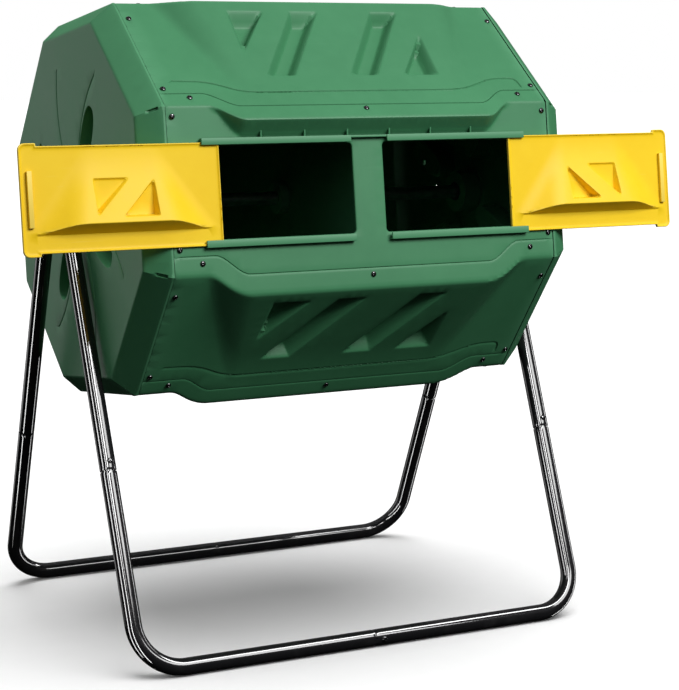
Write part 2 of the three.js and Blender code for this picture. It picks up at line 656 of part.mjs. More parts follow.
function legPlug(leg) {
  const { down, crown } = legPlan(leg);
  const fit = TUBE_FLAT - TUBE_WALL - GAP;
  const cap = [[TUBE_FLAT, GAP], [TUBE_FLAT - 1, 3], [TUBE_FLAT - 5, 4.4], [0, 5]];
  const profile = [[0, -TUBE_FLAT], [fit, -TUBE_FLAT], [fit, GAP], ...cap];
  return turnedOn(profile, 16, crown, down.clone().negate());
}

// ---- Axle and its fasteners (built for the right-hand end) ----
// A ring about the X axis between two radii and two distances along it.
const collar = (hole, radius, x0, x1, segments) =>
  turned([[hole, x0], [radius, x0], [radius, x1], [hole, x1], [hole, x0]], segments);

const axleTube = () => collar(AXLE_RADIUS - TUBE_WALL, AXLE_RADIUS, -AXLE_END, AXLE_END, ROUND);

const axleInsert = () => {
  const end = AXLE_END - 1;
  return collar(BOLT_RADIUS + GAP, AXLE_RADIUS - TUBE_WALL - GAP, end - INSERT_LENGTH, end, SMALL_ROUND);
};

const WASHER_IN = LEG_OUTER_X + TUBE_FLAT + GAP;
const WASHER_OUT = WASHER_IN + WASHER_THICK;
const washer = () => collar(BOLT_RADIUS + GAP, WASHER_RADIUS, WASHER_IN, WASHER_OUT, ROUND);

function axleBolt() {
  const under = WASHER_OUT + GAP;
  const shank = disc(BOLT_RADIUS, AXLE_END - INSERT_LENGTH, under + 1, SMALL_ROUND);
  const hexagon = disc(BOLT_HEAD.radius, under, under + BOLT_HEAD.height, 6);
  return combine(hexagon, [shank], []);
}

// ---- Assembly ----
const group = new THREE.Group();
const stand = new THREE.Group();
stand.position.set(0, DRUM_SHIFT_Y, 0);
const drum = new THREE.Group();
drum.position.set(0, DRUM_SHIFT_Y, AXLE_Z);
drum.rotation.x = -DRUM_TILT;
group.add(stand, drum);

function place(parent, name, geometry, material) {
  const mesh = new THREE.Mesh(geometry, material);
  mesh.name = name;
  parent.add(mesh);
  return mesh;
}

const PLAIN_PANELS = ["upper_front", "top", "upper_rear", "rear", "lower_rear", "bottom", "lower_front"];
place(drum, "front_door_panel", doorPanel(), greenPlastic);
PLAIN_PANELS.forEach((name, k) => {
  place(drum, name + "_panel", plainPanel(), greenPlastic).rotation.x = (-(k + 1) * Math.PI) / 4;
});
place(drum, "centre_divider", centreDivider(), greenPlastic);

// The left-hand copy of a piece is the right-hand one reflected.
for (const [sideName, side] of [["left", -1], ["right", 1]]) {
  const pieces = [
    [drum, "end_cap_", endCap(), greenPlastic],
    [drum, "hub_bush_", hubBush(), blackPlastic],
    [drum, "door_", slidingDoor(), yellowPlastic],
  ];
  for (const [parent, name, geometry, material] of pieces) {
    place(parent, name + sideName, geometry, material).scale.x = side;
  }
  const fasteners = [
    ["axle_insert_", axleInsert(), zincSteel],
    ["axle_washer_", washer(), zincSteel],
    ["axle_bolt_", axleBolt(), zincSteel],
  ];
  for (const [name, geometry, material] of fasteners) {
    const piece = place(stand, name + sideName, geometry, material);
    piece.position.z = AXLE_Z;
    piece.scale.x = side;
  }
}

place(stand, "axle_tube", axleTube(), zincSteel).position.z = AXLE_Z;
for (const leg of LEGS) {
  const { outward, screwAt } = legPlan(leg);
  place(stand, "upper_leg_" + leg.name, upperLeg(leg), blackTube);
  place(stand, "lower_tube_" + leg.name, lowerTube(leg), blackTube);
  place(stand, "leg_plug_" + leg.name, legPlug(leg), blackPlastic);
  place(stand, "leg_screw_" + leg.name, screw(screwAt, outward), darkSteel);
}
for (const [name, face] of [["front", -1], ["rear", 1]]) {
  const { at, axis } = barScrewPlace(face);
  place(stand, "bar_screw_" + name, screw(at, axis), darkSteel);
}

export default group;
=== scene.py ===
# The looks of a dual-chamber compost tumbler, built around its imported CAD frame. The script follows the
# object as it is put together: drum panels, door panel, screws, end caps, divider, doors, stand and axle,
# and then the studio. Sizes are in millimetres until a piece is made, because the drawings are.
import json
import math

import bpy
import numpy as np
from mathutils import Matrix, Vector, kdtree
from mathutils.geometry import delaunay_2d_cdt


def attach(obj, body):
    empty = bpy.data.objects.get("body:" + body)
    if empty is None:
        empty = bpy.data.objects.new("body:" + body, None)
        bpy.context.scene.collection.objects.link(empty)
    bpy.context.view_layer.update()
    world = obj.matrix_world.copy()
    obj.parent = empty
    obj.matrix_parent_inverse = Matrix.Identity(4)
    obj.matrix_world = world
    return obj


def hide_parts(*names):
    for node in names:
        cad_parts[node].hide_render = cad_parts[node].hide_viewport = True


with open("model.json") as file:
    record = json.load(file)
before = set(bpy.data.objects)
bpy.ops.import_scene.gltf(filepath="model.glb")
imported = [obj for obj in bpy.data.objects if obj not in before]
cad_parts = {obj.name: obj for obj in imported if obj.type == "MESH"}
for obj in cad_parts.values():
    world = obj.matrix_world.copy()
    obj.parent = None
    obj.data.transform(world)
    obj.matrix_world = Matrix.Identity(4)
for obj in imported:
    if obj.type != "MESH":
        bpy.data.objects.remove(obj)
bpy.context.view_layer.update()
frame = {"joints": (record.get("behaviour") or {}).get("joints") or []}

# ---- Drum panels ----
# Seven alike panels, injection moulded in green polypropylene with a fine satin grain. Each has a raised
# middle with four recesses, a lower lip under the panel below it, and a flange bent over the panel above.
FACES = ("front_door", "upper_front", "top", "upper_rear", "rear", "lower_rear", "bottom", "lower_front")
APOTHEM = 277.5
HALF_SIDE = APOTHEM * math.tan(math.pi / 8)
DRUM_TILT = 0.129
PANEL_HALF = 301.7
WALL = 3.0
LAP, LAP_FULL_X, LAP_NONE_X = 30.0, 191.0, 242.0
FLANGE, LIP_UNDER, LIP_SHORT = 25.5, 3.35, 5.5
PLATEAU_FOOT, PLATEAU_TOP, PLATEAU_RISE = -75.0, 93.7, 21.2
FLANK_X, FLANK_S, FLANK_LEAN, FLANK_SLOPE = 243.0, 102.0, 0.366, 0.62
RECESS_DEPTH, RECESS_TURN = 18.0, (-2.0, 9.5)
COS45 = math.sqrt(0.5)

spin = next(joint for joint in frame["joints"] if joint["name"] == "drum_spin")
AXLE = np.array(spin["pos_m"]) * 1000


def lap(x):
    """How far a panel's middle reaches past the octagon's corner."""
    t = np.clip((LAP_NONE_X - np.abs(x)) / (LAP_NONE_X - LAP_FULL_X), 0, 1)
    return LAP * t * t * (3 - 2 * t)


def flange(x):
    return FLANGE + 2.5 * lap(x) / LAP


def seam(x):
    """Height of the seam where the flange of the panel below ends."""
    return -HALF_SIDE - lap(x) + flange(x)


def least(a, b, blend):
    """The smaller of two heights, with a rounded crease where they meet."""
    h = np.clip(0.5 + 0.5 * (b - a) / blend, 0, 1)
    return b + (a - b) * h - blend * h * (1 - h)


def most(a, b, blend):
    return -least(-a, -b, blend)


def plain_surface(x, s):
    """Height of a plain panel out of the octagon's face, before its recesses."""
    plateau = PLATEAU_RISE * (s - PLATEAU_FOOT) / (PLATEAU_TOP - PLATEAU_FOOT)
    flank = FLANK_SLOPE * (FLANK_X + FLANK_LEAN * (s - FLANK_S) - np.abs(x))
    raised = most(least(plateau, flank, 12), np.zeros_like(x), 5)
    return least(raised, HALF_SIDE - s, 3.5)


def turned_about_axle(points, angle):
    """Turns points about the drum's axis."""
    c, n = math.cos(angle), math.sin(angle)
    x, y, z = np.asarray(points, float).T
    return np.stack([x, y * c - z * n, y * n + z * c], 1)


def on_drum(points):
    return turned_about_axle(points, -DRUM_TILT) + AXLE


def on_face(points, number):
    """Places (along, up the face, out of the face) points on one of the drum's eight faces."""
    x, s, r = np.asarray(points, float).T
    return on_drum(turned_about_axle(np.stack([x, -APOTHEM - r, s], 1), -number * math.pi / 4))


def rounded(outline, offsets, radius, steps=4, spacing=6.0, like=None):
    """An outline with its sides moved in by offsets, round corners, and points evenly along its sides."""
    outline = np.asarray(outline, float)
    count = len(outline)
    offsets = np.broadcast_to(np.asarray(offsets, float), count)
    ahead = np.roll(outline, -1, 0) - outline
    ahead /= np.linalg.norm(ahead, axis=1)[:, None]
    inward = np.stack([-ahead[:, 1], ahead[:, 0]], 1)
    base = outline + inward * offsets[:, None]
    corners = []
    for i in range(count):
        a, da, b, db = base[i - 1], ahead[i - 1], base[i], ahead[i]
        t = ((b[0] - a[0]) * db[1] - (b[1] - a[1]) * db[0]) / (da[0] * db[1] - da[1] * db[0])
        corners.append(a + da * t)
    corners = np.array(corners)
    sides = np.linalg.norm(np.roll(corners, -1, 0) - corners, axis=1)
    radii = np.broadcast_to(radius, count)
    arcs = []
    for i in range(count):
        before, after = ahead[i - 1], ahead[i]
        turn = math.atan2(before[0] * after[1] - before[1] * after[0], before @ after)
        room = 0.42 * min(sides[i - 1], sides[i])
        reach = min(radii[i] * math.tan(abs(turn) / 2), room)
        bend = reach / math.tan(abs(turn) / 2)
        side = math.copysign(1, turn)
        centre = corners[i] - before * reach + side * bend * np.array([-before[1], before[0]])
        spoke = corners[i] - before * reach - centre
        arc = []
        for step in range(steps + 1):
            c, n = math.cos(turn * step / steps), math.sin(turn * step / steps)
            arc.append(centre + (spoke[0] * c - spoke[1] * n, spoke[0] * n + spoke[1] * c))
        arcs.append(arc)
    counts = like or [max(1, round(side / spacing)) for side in sides]
    points = []
    for i in range(count):
        points += arcs[i]
        start, end = arcs[i][-1], arcs[(i + 1) % count][0]
        points += [start + (end - start) * k / counts[i] for k in range(1, counts[i])]
    return np.array(points), counts


def inside(polygon, points):
    """Which points lie in a polygon."""
    x, y = points.T
    found = np.zeros(len(points), bool)
    for (x0, y0), (x1, y1) in zip(polygon, np.roll(polygon, -1, 0)):
        if y0 != y1:
            found ^= ((y0 > y) != (y1 > y)) & (x < (x1 - x0) * (y - y0) / (y1 - y0) + x0)
    return found


class Pattern:
    """The flat pattern of a moulding: the lines that its mesh follows. Each point has how far it lies
    between the moulding's surface and its recess floor (sunk), and how deep it is engraved (cut)."""

    def __init__(self, surface, outline):
        self.surface, self.outline = surface, np.asarray(outline, float)
        self.points, self.depths, self.edges, self.holes, self.pits = [], [], [], [], []
        self.line(self.outline, cut=1.0, closed=True)

    def line(self, points, sunk=0.0, cut=0.0, closed=False):
        start, count = len(self.points), len(points)
        self.points += [tuple(map(float, p[:2])) for p in points]
        self.depths += list(zip(np.broadcast_to(sunk, count), np.broadcast_to(cut, count)))
        self.edges += [(start + i, start + i + 1) for i in range(count - 1)]
        if closed:
            self.edges.append((start + count - 1, start))

    def band(self, points, profile):
        """Lines beside an open line, each at a distance to its left and with a cut."""
        points = np.asarray(points, float)
        ahead = np.gradient(points, axis=0)
        left = np.stack([-ahead[:, 1], ahead[:, 0]], 1) / np.linalg.norm(ahead, axis=1)[:, None]
        for distance, cut in profile:
            self.line(points + left * distance, cut=cut)

    def recess(self, outline, leans, profile, radius):
        """A recess whose walls lean in: profile holds (share of the lean, extra inset, sunk)."""
        counts = None
        for share, extra, sunk in profile:
            offsets = np.asarray(leans) * share + extra
            loop, counts = rounded(outline, offsets, max(radius - extra / 3, 1.2), like=counts)
            self.line(loop, sunk=sunk, closed=True)
            if not share and extra < 0:
                self.pits.append(loop)
        self.pits.append(loop)

    def opening(self, outline, radius, rounding=((0.0, 1.0), (0.6, 0.3), (1.5, 0.0))):
        """A hole through the moulding with a rounded edge."""
        counts = None
        for distance, cut in rounding:
            loop, counts = rounded(outline, -distance, radius + distance, like=counts)
            self.line(loop, cut=cut, closed=True)
            if not distance:
                self.holes.append(loop)

    def fill(self, fine, coarse, clearance):
        """Adds points inside the outline, close together only where the surface bends."""
        tree = kdtree.KDTree(len(self.points))
        for i, (x, y) in enumerate(self.points):
            tree.insert((x, y, 0), i)
        tree.balance()
        low, high = self.outline.min(0), self.outline.max(0)
        rows, columns = (np.arange(a + fine / 2, b, fine) for a, b in zip(low, high))
        grid = np.stack(np.meshgrid(rows, columns, indexing="ij"), -1)
        x, s = grid[..., 0], grid[..., 1]
        here = self.surface(x, s)
        bend = sum(
            np.abs(self.surface(x + dx, s + ds) + self.surface(x - dx, s - ds) - 2 * here)
            for dx, ds in ((fine, 0), (0, fine), (fine, fine), (fine, -fine))
        )
        step = round(coarse / fine)
        i, j = np.indices(x.shape)
        wanted = (bend > 0.05) | ((i % step == 0) & (j % step == 0))
        dots = grid[wanted]
        dots = dots[inside(self.outline, dots)]
        for pit in self.pits + self.holes:
            dots = dots[~inside(pit, dots)]
        for x, y in dots:
            if tree.find((x, y, 0))[2] > clearance:
                self.points.append((float(x), float(y)))
                self.depths.append((0.0, 0.0))

    def solid(self, wall, floor=lambda x, y, height: height):
        """Points (flat x, flat y, height) and faces of the closed moulding. A raised line has a flat back."""
        found, _, faces, whence, _, _ = delaunay_2d_cdt(
            [Vector(p) for p in self.points], self.edges, [], 1, 1e-4
        )
        flat = np.array([tuple(v) for v in found])
        faces = np.array([f for f in faces if len(f) == 3])
        middles = flat[faces].mean(1)
        for hole in self.holes:
            keep = ~inside(hole, middles)
            faces, middles = faces[keep], middles[keep]
        used, faces = np.unique(faces, return_inverse=True)
        faces = faces.reshape(-1, 3)
        depths = np.array([self.depths[whence[i][0]] if whence[i] else (0, 0) for i in used])
        flat = flat[used]
        height = self.surface(flat[:, 0], flat[:, 1])
        height = height + (floor(flat[:, 0], flat[:, 1], height) - height) * depths[:, 0] - depths[:, 1]
        back = height - wall + np.minimum(depths[:, 1], 0)
        count = len(flat)
        points = np.concatenate([np.c_[flat, height], np.c_[flat, back]])
        edges = {(int(a), int(b)) for f in faces for a, b in zip(f, np.roll(f, -1))}
        rim = [(b, a, a + count, b + count) for a, b in edges if (b, a) not in edges]
        return points, faces.tolist() + (faces[:, ::-1] + count).tolist() + sorted(rim)


class Value:
    """A value in a finish. Sums, products and the like of it add Math nodes."""

    def __init__(self, finish, socket):
        self.finish, self.socket = finish, socket

    def math(self, operation, *terms):
        return self.finish.node("Math", {"operation": operation}, dict(enumerate(terms)))

    def __add__(self, other):
        return self.math("ADD", self, other)

    def __sub__(self, other):
        return self.math("SUBTRACT", self, other)

    def __rsub__(self, other):
        return self.math("SUBTRACT", other, self)

    def __mul__(self, other):
        return self.math("MULTIPLY", self, other)

    __radd__, __rmul__ = __add__, __mul__

    def between(self, low, high):
        """0 below low, 1 above high and a soft step in between."""
        inputs = {"Value": self, "From Min": low, "From Max": high}
        return self.finish.node("MapRange", {"interpolation_type": "SMOOTHSTEP"}, inputs)


class Finish:
    """A plastic or metal of the tumbler, as a material whose surface is written as expressions."""

    def __init__(self, name, **sockets):
        self.material = bpy.data.materials.new(name)
        self.material.use_nodes = True
        self.tree = self.material.node_tree
        self.surface = self.tree.nodes["Principled BSDF"]
        for socket, value in sockets.items():
            self.surface.inputs[socket.replace("_", " ")].default_value = value
        self.place = self.node("TexCoord", output="Object")

    def node(self, kind, settings=None, inputs=None, output=0):
        made = self.tree.nodes.new("ShaderNode" + kind)
        for setting, value in (settings or {}).items():
            setattr(made, setting, value)
        for socket, value in (inputs or {}).items():
            self.feed(made.inputs[socket], value)
        return Value(self, made.outputs[output])

    def feed(self, socket, value):
        if isinstance(value, Value):
            self.tree.links.new(value.socket, socket)
        else:
            socket.default_value = value

    def noise(self, scale, detail=2.0, roughness=0.5, distortion=0.0):
        inputs = {"Vector": self.place, "Scale": scale, "Detail": detail}
        inputs.update({"Roughness": roughness, "Distortion": distortion})
        return self.node("TexNoise", {}, inputs)

    def mixed(self, factor, first, second):
        """A colour between two others."""
        settings = {"data_type": "RGBA"}
        return self.node("Mix", settings, {0: factor, 6: first, 7: second}, output=2)

    def bump(self, height, strength, distance):
        inputs = {"Height": height, "Strength": strength, "Distance": distance}
        return self.node("Bump", {}, inputs)

    def covers(self, colour, roughness, normal, metallic=None):
        self.feed(self.surface.inputs["Base Color"], colour)
        self.feed(self.surface.inputs["Roughness"], roughness)
        self.feed(self.surface.inputs["Normal"], normal)
        if metallic is not None:
            self.feed(self.surface.inputs["Metallic"], metallic)


def moulded_plastic(name, colour, deep, highlight_and_scratch_tint, sheen_rough, gloss=0.42):
    """Moulded polypropylene: a fine even grain, faint flow clouds, a few hair scratches, a painted highlight
    on the edges and painted shade in crevices and seams.
    """
    finish = Finish(name, Specular_IOR_Level=gloss)
    clouds = finish.noise(5.0, 3.0, 0.55, 0.4)
    mottle = finish.noise(60.0, 2.0)
    grain = finish.noise(1100.0, 3.0, 0.6)
    # Painted highlight: convex edges are lightened towards the pale tint, as if they caught the light. The
    # same tint also colours the hair scratches.
    edges = finish.node("NewGeometry", output="Pointiness").between(0.51, 0.6)
    stretched = finish.node("Mapping", {}, {"Vector": finish.place, "Scale": (14.0, 330.0, 330.0)})
    hairs = finish.node("TexNoise", {}, {"Vector": stretched, "Scale": 1.0, "Detail": 2.0})
    scratch = hairs.between(0.69, 0.75) * 0.35
    tone = finish.mixed((clouds * 0.75 + mottle * 0.25).between(0.32, 0.68), deep, colour)
    tone = finish.mixed(edges * 0.5, tone, highlight_and_scratch_tint)
    tone = finish.mixed(scratch * 0.25, tone, highlight_and_scratch_tint)
    # Painted shade: narrow crevices, seams, slots and recess edges are darkened in the colour, as if little
    # light reached into them.
    openness = finish.node("AmbientOcclusion", {"samples": 6}, {"Distance": 0.007}, output="AO")
    crevice_shade = 1.0 - openness.between(0.15, 0.75)
    tone = finish.mixed(crevice_shade * 0.75, tone, tuple(part * 0.15 for part in deep[:3]) + (1,))
    rough = clouds * 0.10 + mottle * 0.06 + scratch * 0.12 + (sheen_rough - 0.08)
    finish.covers(tone, rough, finish.bump(grain + mottle * 0.3 - scratch * 0.3, 0.35, 0.0002))
    return finish


drum_green = moulded_plastic(
    "moulded_green",
    (0.057, 0.242, 0.108, 1),
    (0.050, 0.220, 0.097, 1),
    # painted edge highlight colour, also the hair scratches' tint
    (0.11, 0.35, 0.18, 1),
    0.5,
)


def piece(name, points, faces, body, slot, finish, replaces=(), sharp=32):
    """A finished piece, from points in millimetres, that rides on its body."""
    mesh = bpy.data.meshes.new(name)
    mesh.from_pydata((np.asarray(points) * 0.001).tolist(), [], faces)
    mesh.validate()
    mesh.shade_smooth()
    mesh.set_sharp_from_angle(angle=math.radians(sharp))
    mesh.materials.append(finish.material)
    made = bpy.data.objects.new(name, mesh)
    bpy.context.scene.collection.objects.link(made)
    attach(made, body)
    if replaces:
        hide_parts(*replaces)
    return made


# The lip steps under the flange of the panel below, so its edge and the flange's edge are both rounded.
SEAM_STEP = ((3.2, 0.0), (2.2, 0.15), (1.7, 0.8), (1.5, 2.0), (1.3, LIP_UNDER), (-2.0, LIP_UNDER))
stations = np.unique(np.r_[np.linspace(-PANEL_HALF, PANEL_HALF, 86), -LAP_NONE_X, LAP_NONE_X])


def blank(surface):
    """The pattern of a panel with its lower lip, seam step and upper flange, but nothing else yet."""
    foot = -HALF_SIDE - lap(stations) + LIP_SHORT
    end = HALF_SIDE + COS45 * (flange(stations) - lap(stations))
    side = np.linspace(0, 1, 36)[1:-1]
    left = foot[0] + (end[0] - foot[0]) * side[::-1]
    right = foot[-1] + (end[-1] - foot[-1]) * side
    outline = np.r_[
        np.c_[stations, foot],
        np.c_[np.full(34, PANEL_HALF), right],
        np.c_[stations[::-1], end[::-1]],
        np.c_[np.full(34, -PANEL_HALF), left],
    ]
    pattern = Pattern(surface, outline)
    inner = stations[1:-1] * (PANEL_HALF - 0.9) / PANEL_HALF
    for above, cut in SEAM_STEP:
        pattern.line(np.c_[inner, seam(inner) + above], cut=cut)
    for under in (5.0, 9.0, 13.0):
        pattern.line(np.c_[inner, seam(inner) - under], cut=LIP_UNDER)
    for before, cut in ((0.35, 0.4), (0.8, 0.1), (2.2, 0.0)):
        pattern.line(np.c_[inner, HALF_SIDE + COS45 * (flange(inner) - lap(inner)) - before], cut=cut)
    return pattern


def smooth_line(points, spacing, radius):
    """A line through corners that are rounded off."""
    points = np.asarray(points, float)
    made = [points[0]]
    for before, corner, after in zip(points, points[1:], points[2:]):
        back, on = before - corner, after - corner
        reach = min(radius, 0.45 * np.linalg.norm(back), 0.45 * np.linalg.norm(on))
        a = corner + back / np.linalg.norm(back) * reach
        b = corner + on / np.linalg.norm(on) * reach
        made += [a * (1 - t) ** 2 + 2 * corner * t * (1 - t) + b * t * t for t in np.linspace(0, 1, 7)]
    made.append(points[-1])
    made = np.array(made)
    along = np.r_[0, np.cumsum(np.linalg.norm(np.diff(made, axis=0), axis=1))]
    at = np.linspace(0, along[-1], max(3, round(along[-1] / spacing)))
    return np.stack([np.interp(at, along, made[:, 0]), np.interp(at, along, made[:, 1])], 1)


EMBOSSED = (
    (-275, -60.5), (-223, -62.4), (-176, -86.7), (174, -85.0), (233, -59.5), (275, -60.0), (277, -80.0),
)
EMBOSS_STEP = ((0.9, 0.0), (0.4, 0.4), (-0.1, 1.5), (-0.9, 1.4), (-3.5, 0.5), (-7.0, 0.0))
TRIANGLE = np.array([(-151, -11), (-93, 73), (-151, 73)], float)
SLOT = np.array([(-130, -54), (-85, -54), (-5.5, 73), (-50.5, 73)], float)
TRIANGLE_LEANS, SLOT_LEANS = (5.5, 14.0, 10.5), (10.5, 10.0, 14.0, 10.0)
RECESS_WALL = (
    (0, -2.2, 0.0), (0, -0.7, 0.02), (0, 0.5, 0.07), (0.2, 0.5, 0.2), (0.6, 0.5, 0.6), (0.92, 0.4, 0.9),
    (1.0, 1.2, 0.975), (1.0, 2.6, 1.0),
)


def plain_panel():
    pattern = blank(plain_surface)
    pattern.band(smooth_line(EMBOSSED, 6.0, 26.0), EMBOSS_STEP)
    for outline, leans in ((TRIANGLE, TRIANGLE_LEANS), (SLOT, SLOT_LEANS)):
        for side in (outline, 2 * np.array(RECESS_TURN) - outline):
            pattern.recess(side, leans, RECESS_WALL, 3.0)
    pattern.fill(3.6, 18.0, 1.7)
    return pattern.solid(WALL, lambda x, s, height: height - RECESS_DEPTH)


panel_points, panel_faces = plain_panel()
for number, face in enumerate(FACES):
    if number:
        node = face + "_panel"
        placed = on_face(panel_points, number)
        piece(node + "_moulding", placed, panel_faces, "drum", "drum_green", drum_green, [node])


# ---- Door panel ----
# The front panel is moulded flat, with two windows, a soffit that overhangs them, L-shaped rails that the
# doors slide in, a thin ledge across the middle post, and small gussets that brace the upper rail.
WINDOW = np.array([(24, -66.5), (236, -66.5), (236, 61), (24, 61)], float)
WINDOW_RADIUS = 5.5
SOFFIT_REACH = 1.39
RAIL_ENDS = (28.5, 256.0)
UPPER_RAIL = ((66.2, -1.5), (70.7, -1.5), (70.7, 8.0), (61.5, 8.0), (61.5, 5.5), (66.2, 5.5))
LOWER_RAIL = ((-75.2, -1.5), (-75.2, 5.5), (-67.4, 5.5), (-67.4, 8.0), (-77.1, 8.0), (-77.1, -1.5))
POST_LEDGE = ((67.4, -1.5), (70.4, -1.5), (70.4, 7.0), (67.4, 7.0))
GUSSET = ((68.0, -1.0), (77.0, 1.0), (84.0, 9.6), (82.0, 7.5), (68.0, 6.5))
GUSSET_COUNT, GUSSET_PITCH, GUSSET_HALF = 6, 66.6, 1.3


def soffit_foot(x):
    return HALF_SIDE - SOFFIT_REACH * lap(x) - 1


def door_surface(x, s):
    return least(most(np.zeros_like(x), s - soffit_foot(x), 3), HALF_SIDE - s, 4)


def facing_out(points, faces):
    """The shell with its faces turned outwards."""
    points = np.asarray(points, float)
    volume = 0.0
    for face in faces:
        fan = points[list(face)]
        volume += sum(float(np.dot(fan[0], np.cross(fan[i], fan[i + 1]))) for i in range(1, len(fan) - 1))
    return points, [list(face) if volume > 0 else list(face)[::-1] for face in faces]


def skinned(rings, closed=False):
    """A shell through rings of equal count, closed by a face at each end."""
    count, total = len(rings[0]), len(rings)
    faces = []
    for i in range(total if closed else total - 1):
        a, b = i * count, (i + 1) % total * count
        faces += [(a + j, a + (j + 1) % count, b + (j + 1) % count, b + j) for j in range(count)]
    if not closed:
        faces += [list(range(count)), list(range((total - 1) * count, total * count))[::-1]]
    return facing_out(np.concatenate(rings), faces)


def bar(profile, start, end, radius=0.7, round_by=0.5):
    """A straight moulded bar along the drum with round edges and ends."""
    full, counts = rounded(profile, 0, radius, 2, 1e3)
    small, _ = rounded(profile, round_by, max(radius - round_by, 0.2), 2, 1e3, counts)
    stations = ((start, small), (start + round_by, full), (end - round_by, full), (end, small))
    return skinned([np.c_[np.full(len(loop), x), loop] for x, loop in stations])


def together(*shells):
    """Several shells as the points and faces of one piece."""
    points, faces, count = [], [], 0
    for shell_points, shell_faces in shells:
        points.append(shell_points)
        faces += [[i + count for i in face] for face in shell_faces]
        count += len(shell_points)
    return np.concatenate(points), faces


def anticlockwise(outline):
    x, y = np.asarray(outline, float).T
    area = x @ np.roll(y, -1) - y @ np.roll(x, -1)
    return outline if area > 0 else outline[::-1]


def door_panel():
    pattern = blank(door_surface)
    along = np.linspace(-228, 228, 76)
    for beside in (-2.0, -0.7, 0.7, 2.0):
        pattern.line(np.c_[along, soffit_foot(along) + beside])
    along = np.linspace(-299, 299, 100)
    for beside in (-2.4, -0.8, 0.8):
        pattern.line(np.c_[along, HALF_SIDE - COS45 * lap(along) + beside])
    for side in (-1, 1):
        pattern.opening(anticlockwise(WINDOW * (side, 1)), WINDOW_RADIUS)
    pattern.fill(4.0, 16.0, 1.7)
    shells = [pattern.solid(WALL)]
    for side in (-1, 1):
        start, end = sorted((side * RAIL_ENDS[0], side * RAIL_ENDS[1]))
        shells += [bar(anticlockwise(rail), start, end) for rail in (UPPER_RAIL, LOWER_RAIL)]
    shells.append(bar(POST_LEDGE, -RAIL_ENDS[0] - 1, RAIL_ENDS[0] + 1))
    for i in range(GUSSET_COUNT):
        middle = (i - (GUSSET_COUNT - 1) / 2) * GUSSET_PITCH
        shells.append(bar(GUSSET, middle - GUSSET_HALF, middle + GUSSET_HALF, 0.4, 0.4))
    return together(*shells)


door_panel_points, door_panel_faces = door_panel()
node = "front_door_panel"
placed = on_face(door_panel_points, 0)
piece(node + "_moulding", placed, door_panel_faces, "drum", "drum_green", drum_green, [node])

# ---- Panel screws ----
# Black pan-head tapping screws with a cross recess. They hold each panel's ends to the end caps' rims, and
# each flange to the panel above it at both ends and in the middle.
SCREW_CROSS = 2.2
END_SCREW_X, END_SCREW_LOW, END_SCREW_TOP, DOOR_PANEL_SCREW_TOP = 293.5, -78.5, 78.0, 101.0
FLANGE_SCREWS = [(-261.0, -98.0), (261.0, -98.0), (-1.5, -125.0)]
HEAD_RINGS = (
    (0.0, 2.5), (0.55, 2.49), (1.1, 2.46), (1.6, 2.42), (2.2, 2.33), (2.5, 2.28), (3.2, 1.98), (3.7, 1.5),
    (3.95, 1.0), (4.0, 0.5), (3.9, 0.0), (3.9, -1.0),
)
HEAD_STEPS = 32

dark_screw = Finish("black_passivated_screw", Metallic=1.0)
soot = dark_screw.noise(420.0, 2.0)
dark_screw.covers(
    dark_screw.mixed(soot.between(0.35, 0.7), (0.10, 0.10, 0.105, 1), (0.26, 0.26, 0.265, 1)),
    soot * 0.15 + 0.12,
    dark_screw.bump(soot, 0.3, 0.0001),
)


def frame_about(axis):
    """Two directions square to an axis and to each other."""
    axis = np.asarray(axis, float) / np.linalg.norm(axis)
    across = np.cross(axis, (1.0, 0, 0) if abs(axis[0]) < 0.9 else (0, 1.0, 0))
    across /= np.linalg.norm(across)
    return axis, across, np.cross(axis, across)


def screw(base, axis, turn):
    """A pan-head screw whose head stands on base."""
    axis, across, up = frame_about(axis)
    angles = np.arange(HEAD_STEPS) * 2 * math.pi / HEAD_STEPS
    from_arm = np.abs((angles + math.pi / 4) % (math.pi / 2) - math.pi / 4)
    arm = np.clip((math.radians(20) - from_arm) / math.radians(9), 0, 1)
    rings = []
    for radius, height in HEAD_RINGS:
        into = np.clip((SCREW_CROSS + 0.2 - radius) / 0.3, 0, 1)
        deep = into * np.maximum(arm, radius < 0.6) * (1.6 - 0.35 * radius)
        spokes = np.outer(np.cos(angles + turn), across) + np.outer(np.sin(angles + turn), up)
        rings.append(base + spokes * radius + np.outer(height - deep, axis))
    rings[0] = rings[0].mean(0) + (rings[1] - rings[1].mean(0)) * 0.05
    return skinned(rings)


for number, face in enumerate(FACES):
    top = END_SCREW_TOP if number else DOOR_PANEL_SCREW_TOP
    spots = [(side * END_SCREW_X, s) for side in (-1, 1) for s in (END_SCREW_LOW, top)] + FLANGE_SCREWS
    out = on_face([(0, 0, 1)], number)[0] - on_face([(0, 0, 0)], number)[0]
    shells = []
    for order, (x, s) in enumerate(spots):
        base = on_face([(x, s, 0)], number)[0]
        shells.append(screw(base, out, 0.7 * order + 0.4 * number))
    piece(face + "_panel_screws", *together(*shells), "drum", "dark_screw", dark_screw)

